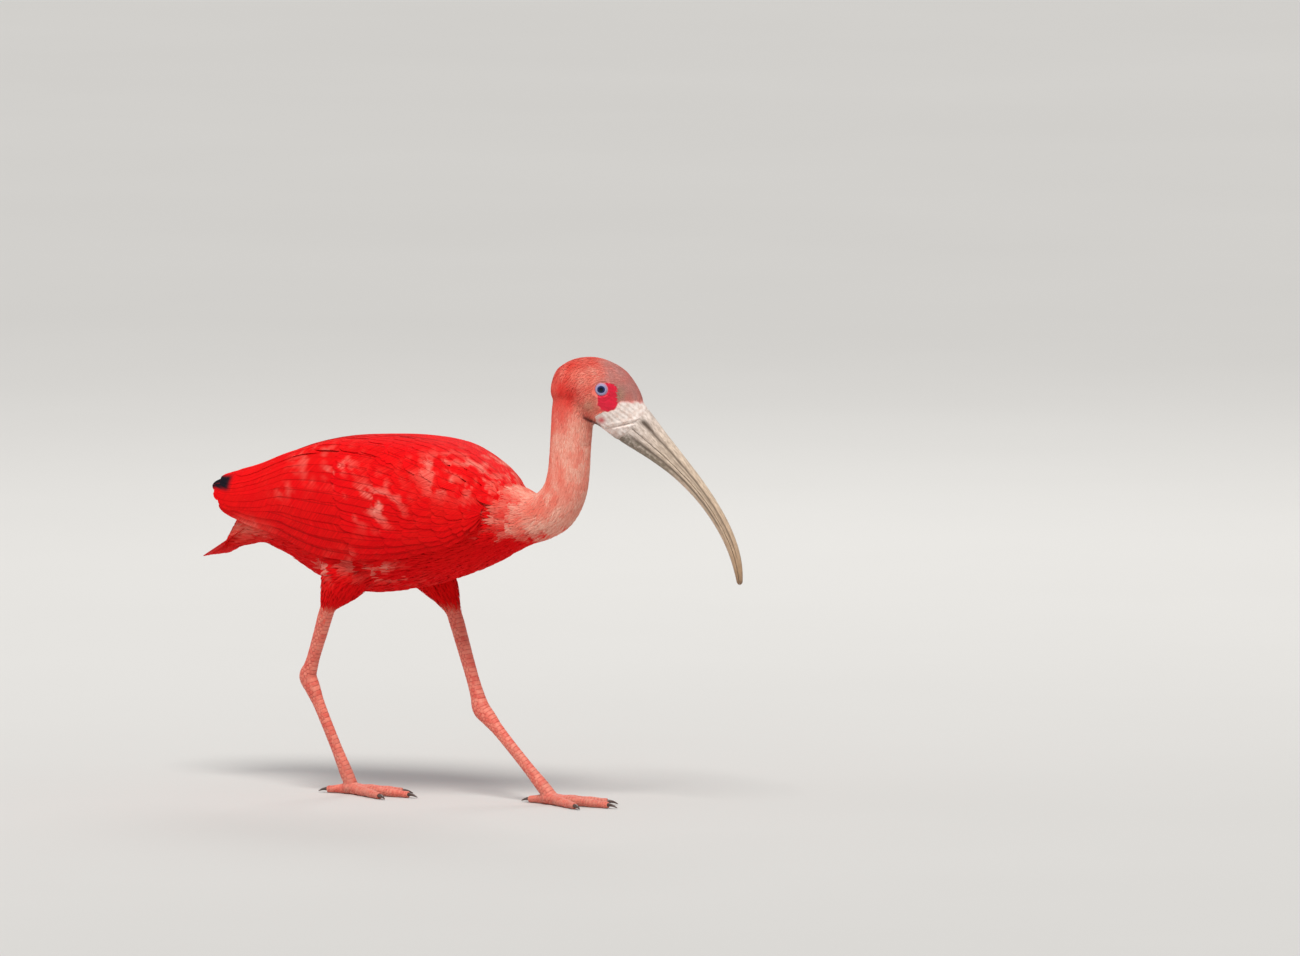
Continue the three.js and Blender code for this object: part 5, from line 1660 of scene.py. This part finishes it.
def toe_middle(leg, toe, reach, height):
    """Points over the line of a toe, by how far along it and how high they are."""
    return leg["foot"] + toe_way(leg, toe) * reach[:, None] + UPWARD * height[:, None]


def toe_rows(leg, toe):
    share = np.linspace(0, 1, 22)
    radius = TOE_RADIUS[0] + (TOE_RADIUS[1] - TOE_RADIUS[0]) * share
    turn = share * (1 if toe == "hind" else 3) * 2 * np.pi
    knuckle, pad = 1 + 0.09 * np.cos(turn), 1 + 0.07 * np.sin(turn + 0.6)
    height = radius * 0.93 + 0.15 * np.sin(share * np.pi)
    middle = toe_middle(leg, toe, 1 + (TOES[toe][1] - 1) * share, height)
    return np.column_stack([middle, radius * knuckle * 0.98, radius * pad * 0.95])


def claw_rings(leg, toe):
    share = np.linspace(0, 1, 16)
    radius = CLAW_ROOT_RADIUS * (1 - share) ** 0.75 + CLAW_TIP_RADIUS
    height = CLAW_ROOT_HEIGHT - CLAW_DROP * share ** 1.8 + 0.35 * np.sin(share * np.pi)
    middle = toe_middle(leg, toe, TOES[toe][1] - CLAW_TUCK + (CLAW_LENGTH + 0.7) * share, height)
    rows = np.column_stack([middle, radius, radius * CLAW_FLATNESS])
    return tube_rings(rows, CLAW_SIDES, UPWARD, CLAW_FLOOR)


def web_rings(leg, toes):
    foot = leg["foot"]
    a, b = (foot + toe_way(leg, toe) * (FOOT_REACH + 2) for toe in toes)
    outline = np.array([foot, a, (a + b) / 2 * (1 - WEB_CUT) + foot * WEB_CUT, b])
    return [outline + UPWARD * height for height in (WEB_LOW, WEB_HIGH)]


def sole_rings(leg):
    """The pad under the toes' roots."""
    a, turn = np.linspace(0.05, np.pi - 0.05, 14)[:, None], round_turn(24)
    off = together(SOLE_LENGTH * np.cos(a), SOLE_WIDTH * np.sin(a) * np.cos(turn),
                   SOLE_HEIGHT * (1 + np.sin(a) * np.sin(turn)))
    return leg["foot"] + off


def along_paths(points, paths):
    """For each point, how far along its nearest path it lies, its angle round it and which path it is."""
    best = np.full(len(points), np.inf)
    along, turn, kind = np.zeros((3, len(points)))
    for k, (middles, reference) in enumerate(paths):
        way = unit(np.gradient(middles, axis=0))
        run = np.concatenate([[0], np.cumsum(np.linalg.norm(np.diff(middles, axis=0), axis=1))])
        for j, middle in enumerate(middles):
            off = points - middle
            d = np.sum(off ** 2, axis=1)
            closer = d < best
            best[closer] = d[closer]
            side = unit(reference - way[j] * np.dot(reference, way[j]))
            along[closer] = (run[j] + off @ way[j])[closer]
            turn[closer] = np.arctan2(off @ np.cross(way[j], side), off @ side)[closer]
            kind[closer] = k
    return along, turn, kind


def hex_cells(along, turn, size, cells_round, seed):
    """Distance to the nearest edge between cells, and a random value for each cell."""
    u, v = turn / (2 * np.pi) * cells_round, along / size
    first, second, value = np.full(len(u), 9.0), np.full(len(u), 9.0), np.zeros(len(u))
    for row in (-1, 0, 1):
        j = np.floor(v) + row
        shift = 0.5 * (j % 2)
        for step in (-1, 0, 1, 2):
            i = np.floor(u - shift) + step
            mixed = np.mod(i, cells_round) * 127.1 + j * 311.7 + seed * 74.7
            r1 = np.mod(np.sin(mixed) * 43758.5453, 1)
            r2 = np.mod(np.sin(mixed * 1.7 + 2.1) * 24634.6345, 1)
            cx, cy = i + shift + 0.26 * (r1 - 0.5), j + 0.5 + 0.26 * (r2 - 0.5)
            d = np.hypot((u - cx) * 0.95, v - cy)
            nearer = d < first
            second = np.where(nearer, first, np.minimum(second, d))
            value = np.where(nearer, r1, value)
            first = np.where(nearer, d, first)
    return second - first, value


def band_edge(along, size):
    """0 on the grooves between the bands across a limb, 1 in their middles."""
    return 1 - np.abs(np.mod(along / size, 1) - 0.5) * 2


LIMB_SCALE, LIMB_BAND, TOE_SCALE, TOE_BAND = 2.5, 3.3, 1.5, 2.3
LIMB_GROOVE, TOE_GROOVE, TOE_BAND_GROOVE = 0.13, 0.15, 0.16
LIMB_DEPTH, TOE_DEPTH, TENDON_HEIGHT, CREASE_HEIGHT = 0.30, 0.22, 0.125, 0.08
CELLS_ROUND_LIMB, CELLS_ROUND_TOE = 10, 9
CELL_SEEDS = {1: 3, -1: 8, "toe": 5}
LIMB_FRONT = np.array([1.0, 0.0, 0.3])
horn_claw = plain_material("claw_horn", 600, CLAW_BROWNS, 0.35, 0.5)
scaly_skin = leg_material()


def scaled_leg(name, leg):
    """The bare leg and foot, with grooves between its scales cut into the surface."""
    limb, toes = limb_rows(leg), [toe_rows(leg, toe) for toe in TOES]
    parts = [tube_rings(limb, LIMB_SIDES, SIDEWAYS)]
    parts += [tube_rings(toe, TOE_SIDES, UPWARD, 0.0) for toe in toes]
    parts += [sole_rings(leg)] + [web_rings(leg, web) for web in WEBS]
    points, quads = remeshed("leg_" + name, [loft(part) for part in parts], LEG_VOXEL, LEG_ROUNDS)
    normals = point_normals(points, quads)
    paths = [(limb[::3, :3], LIMB_FRONT)] + [(toe[::2, :3], UPWARD) for toe in toes]
    along, turn, kind = along_paths(points, paths)
    on_limb = kind == 0
    cell_edge, cell_value = hex_cells(along, turn, LIMB_SCALE, CELLS_ROUND_LIMB, CELL_SEEDS[leg["side"]])
    front = step_between(0.25, 0.7, np.cos(turn))
    band = band_edge(along, LIMB_BAND)
    band_value = np.mod(np.sin(np.floor(along / LIMB_BAND) * 12.9) * 43.7, 1)
    toe_edge, toe_value = hex_cells(along, turn, TOE_SCALE, CELLS_ROUND_TOE, CELL_SEEDS["toe"])
    on_top = step_between(-0.1, 0.4, np.cos(turn))
    limb_groove = hill(cell_edge, 0, LIMB_GROOVE) * (1 - front) + hill(band, 0, LIMB_GROOVE) * front
    toe_bands = hill(band_edge(along, TOE_BAND), 0, TOE_BAND_GROOVE)
    toe_groove = hill(toe_edge, 0, TOE_GROOVE) * (1 - on_top) + toe_bands * on_top
    groove = np.where(on_limb, limb_groove, toe_groove)
    value = np.where(on_limb, cell_value * (1 - front) + front * band_value, toe_value)
    tendon = np.where(on_limb, TENDON_HEIGHT * np.cos(2 * turn), 0)
    moved = tendon - groove * np.where(on_limb, LIMB_DEPTH, TOE_DEPTH)
    moved = moved + CREASE_HEIGHT * value_noise(points, 1.2, 61)
    points = points + normals * moved[:, None]
    points[:, 2] = np.maximum(points[:, 2], 0.0)
    wear = step_between(60, 0, points[:, 2]) * (0.35 + 0.3 * value_noise(points, 9, 63))
    scale = together(groove, value, np.clip(wear, 0, 1), 1)
    return make_mesh("leg_skin_" + name, points, quads, (), scaly_skin, {"scale": scale}, unwrap(points))


for name, leg in LEGS.items():
    dressed(scaled_leg(name, leg), "leg_skin", "shank_" + name, "tarsus_" + name, "foot_" + name,
            *[f"toe_{toe}_{name}" for toe in TOES])
    claws = make_mesh("claws_" + name, *merged([loft(claw_rings(leg, toe)) for toe in TOES]), horn_claw)
    dressed(claws, "claw_horn", *[f"claw_{toe}_{name}" for toe in TOES])


# Floor, light and camera. The places of the lights are in metres

VIEW_AZIMUTH, VIEW_ELEVATION = math.radians(33.0), math.radians(5.5)
VIEW_DISTANCE, VIEW_WIDTH = 14000.0, 910.0
VIEW_RIGHT, VIEW_UP = 175.0, 222.6
SENSOR, CLIP_END = 36.0, 200
HALF_FLOOR = 30000.0
BIRD_MIDDLE = (0.0, 0.0, 0.2)
WHITE, WARM_WHITE, COOL_WHITE = (1.0, 1.0, 1.0), (1.0, 0.975, 0.94), (0.94, 0.97, 1.0)
SKY, SKY_STRENGTH = (0.90, 0.92, 0.95, 1), 0.42


def stand(thing, place, away):
    """Puts a light or the camera in its place, with its back to the way given."""
    thing.location = Vector(place)
    thing.rotation_mode = "QUATERNION"
    thing.rotation_quaternion = Vector(away).to_track_quat("Z", "Y")


def light(name, kind, place, target, power, colour, **settings):
    data = bpy.data.lights.new(name, kind)
    data.energy = power
    data.color = colour
    for key, value in settings.items():
        setattr(data, key, value)
    stand(linked(name, data), place, Vector(place) - Vector(target))


right_way = np.array([math.cos(VIEW_AZIMUTH), math.sin(VIEW_AZIMUTH), 0.0])
back_way = np.cross(right_way, UPWARD) * math.cos(VIEW_ELEVATION) + UPWARD * math.sin(VIEW_ELEVATION)
aim = right_way * VIEW_RIGHT + np.cross(back_way, right_way) * VIEW_UP + SHIFT
camera_data = bpy.data.cameras.new("camera")
camera_data.sensor_width = SENSOR
camera_data.lens = SENSOR * VIEW_DISTANCE / VIEW_WIDTH
camera_data.clip_end = CLIP_END
camera = linked("camera", camera_data)
stand(camera, (aim + back_way * VIEW_DISTANCE) * MM, back_way)
bpy.context.scene.camera = camera

corners = np.array([(-1, -1, 0), (1, -1, 0), (1, 1, 0), (-1, 1, 0)]) * HALF_FLOOR
floor_grey = plain_material("pale_floor", 1.4, FLOOR_GREYS, 0.85, 0.2)
make_mesh("floor", corners - SHIFT, [(0, 1, 2, 3)], (), floor_grey)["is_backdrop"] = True

# A soft light from far away, which lights the floor evenly, and two lamps nearby
light("key", "SUN", (0.8, -1.4, 2.6), (0, 0, 0), 2.5, WARM_WHITE, angle=math.radians(24))
light("fill", "AREA", (-2.2, -1.4, 1.0), BIRD_MIDDLE, 10, COOL_WHITE, shape="DISK", size=1.8)
light("rim", "AREA", (-0.8, 2.0, 1.9), BIRD_MIDDLE, 14, WHITE, shape="DISK", size=1.2)

world = bpy.data.worlds.new("studio")
world.use_nodes = True
sky = world.node_tree.nodes["Background"]
sky.inputs[0].default_value = SKY
sky.inputs[1].default_value = SKY_STRENGTH
bpy.context.scene.world = world
bpy.context.scene.view_settings.view_transform = "Standard"

low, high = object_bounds()
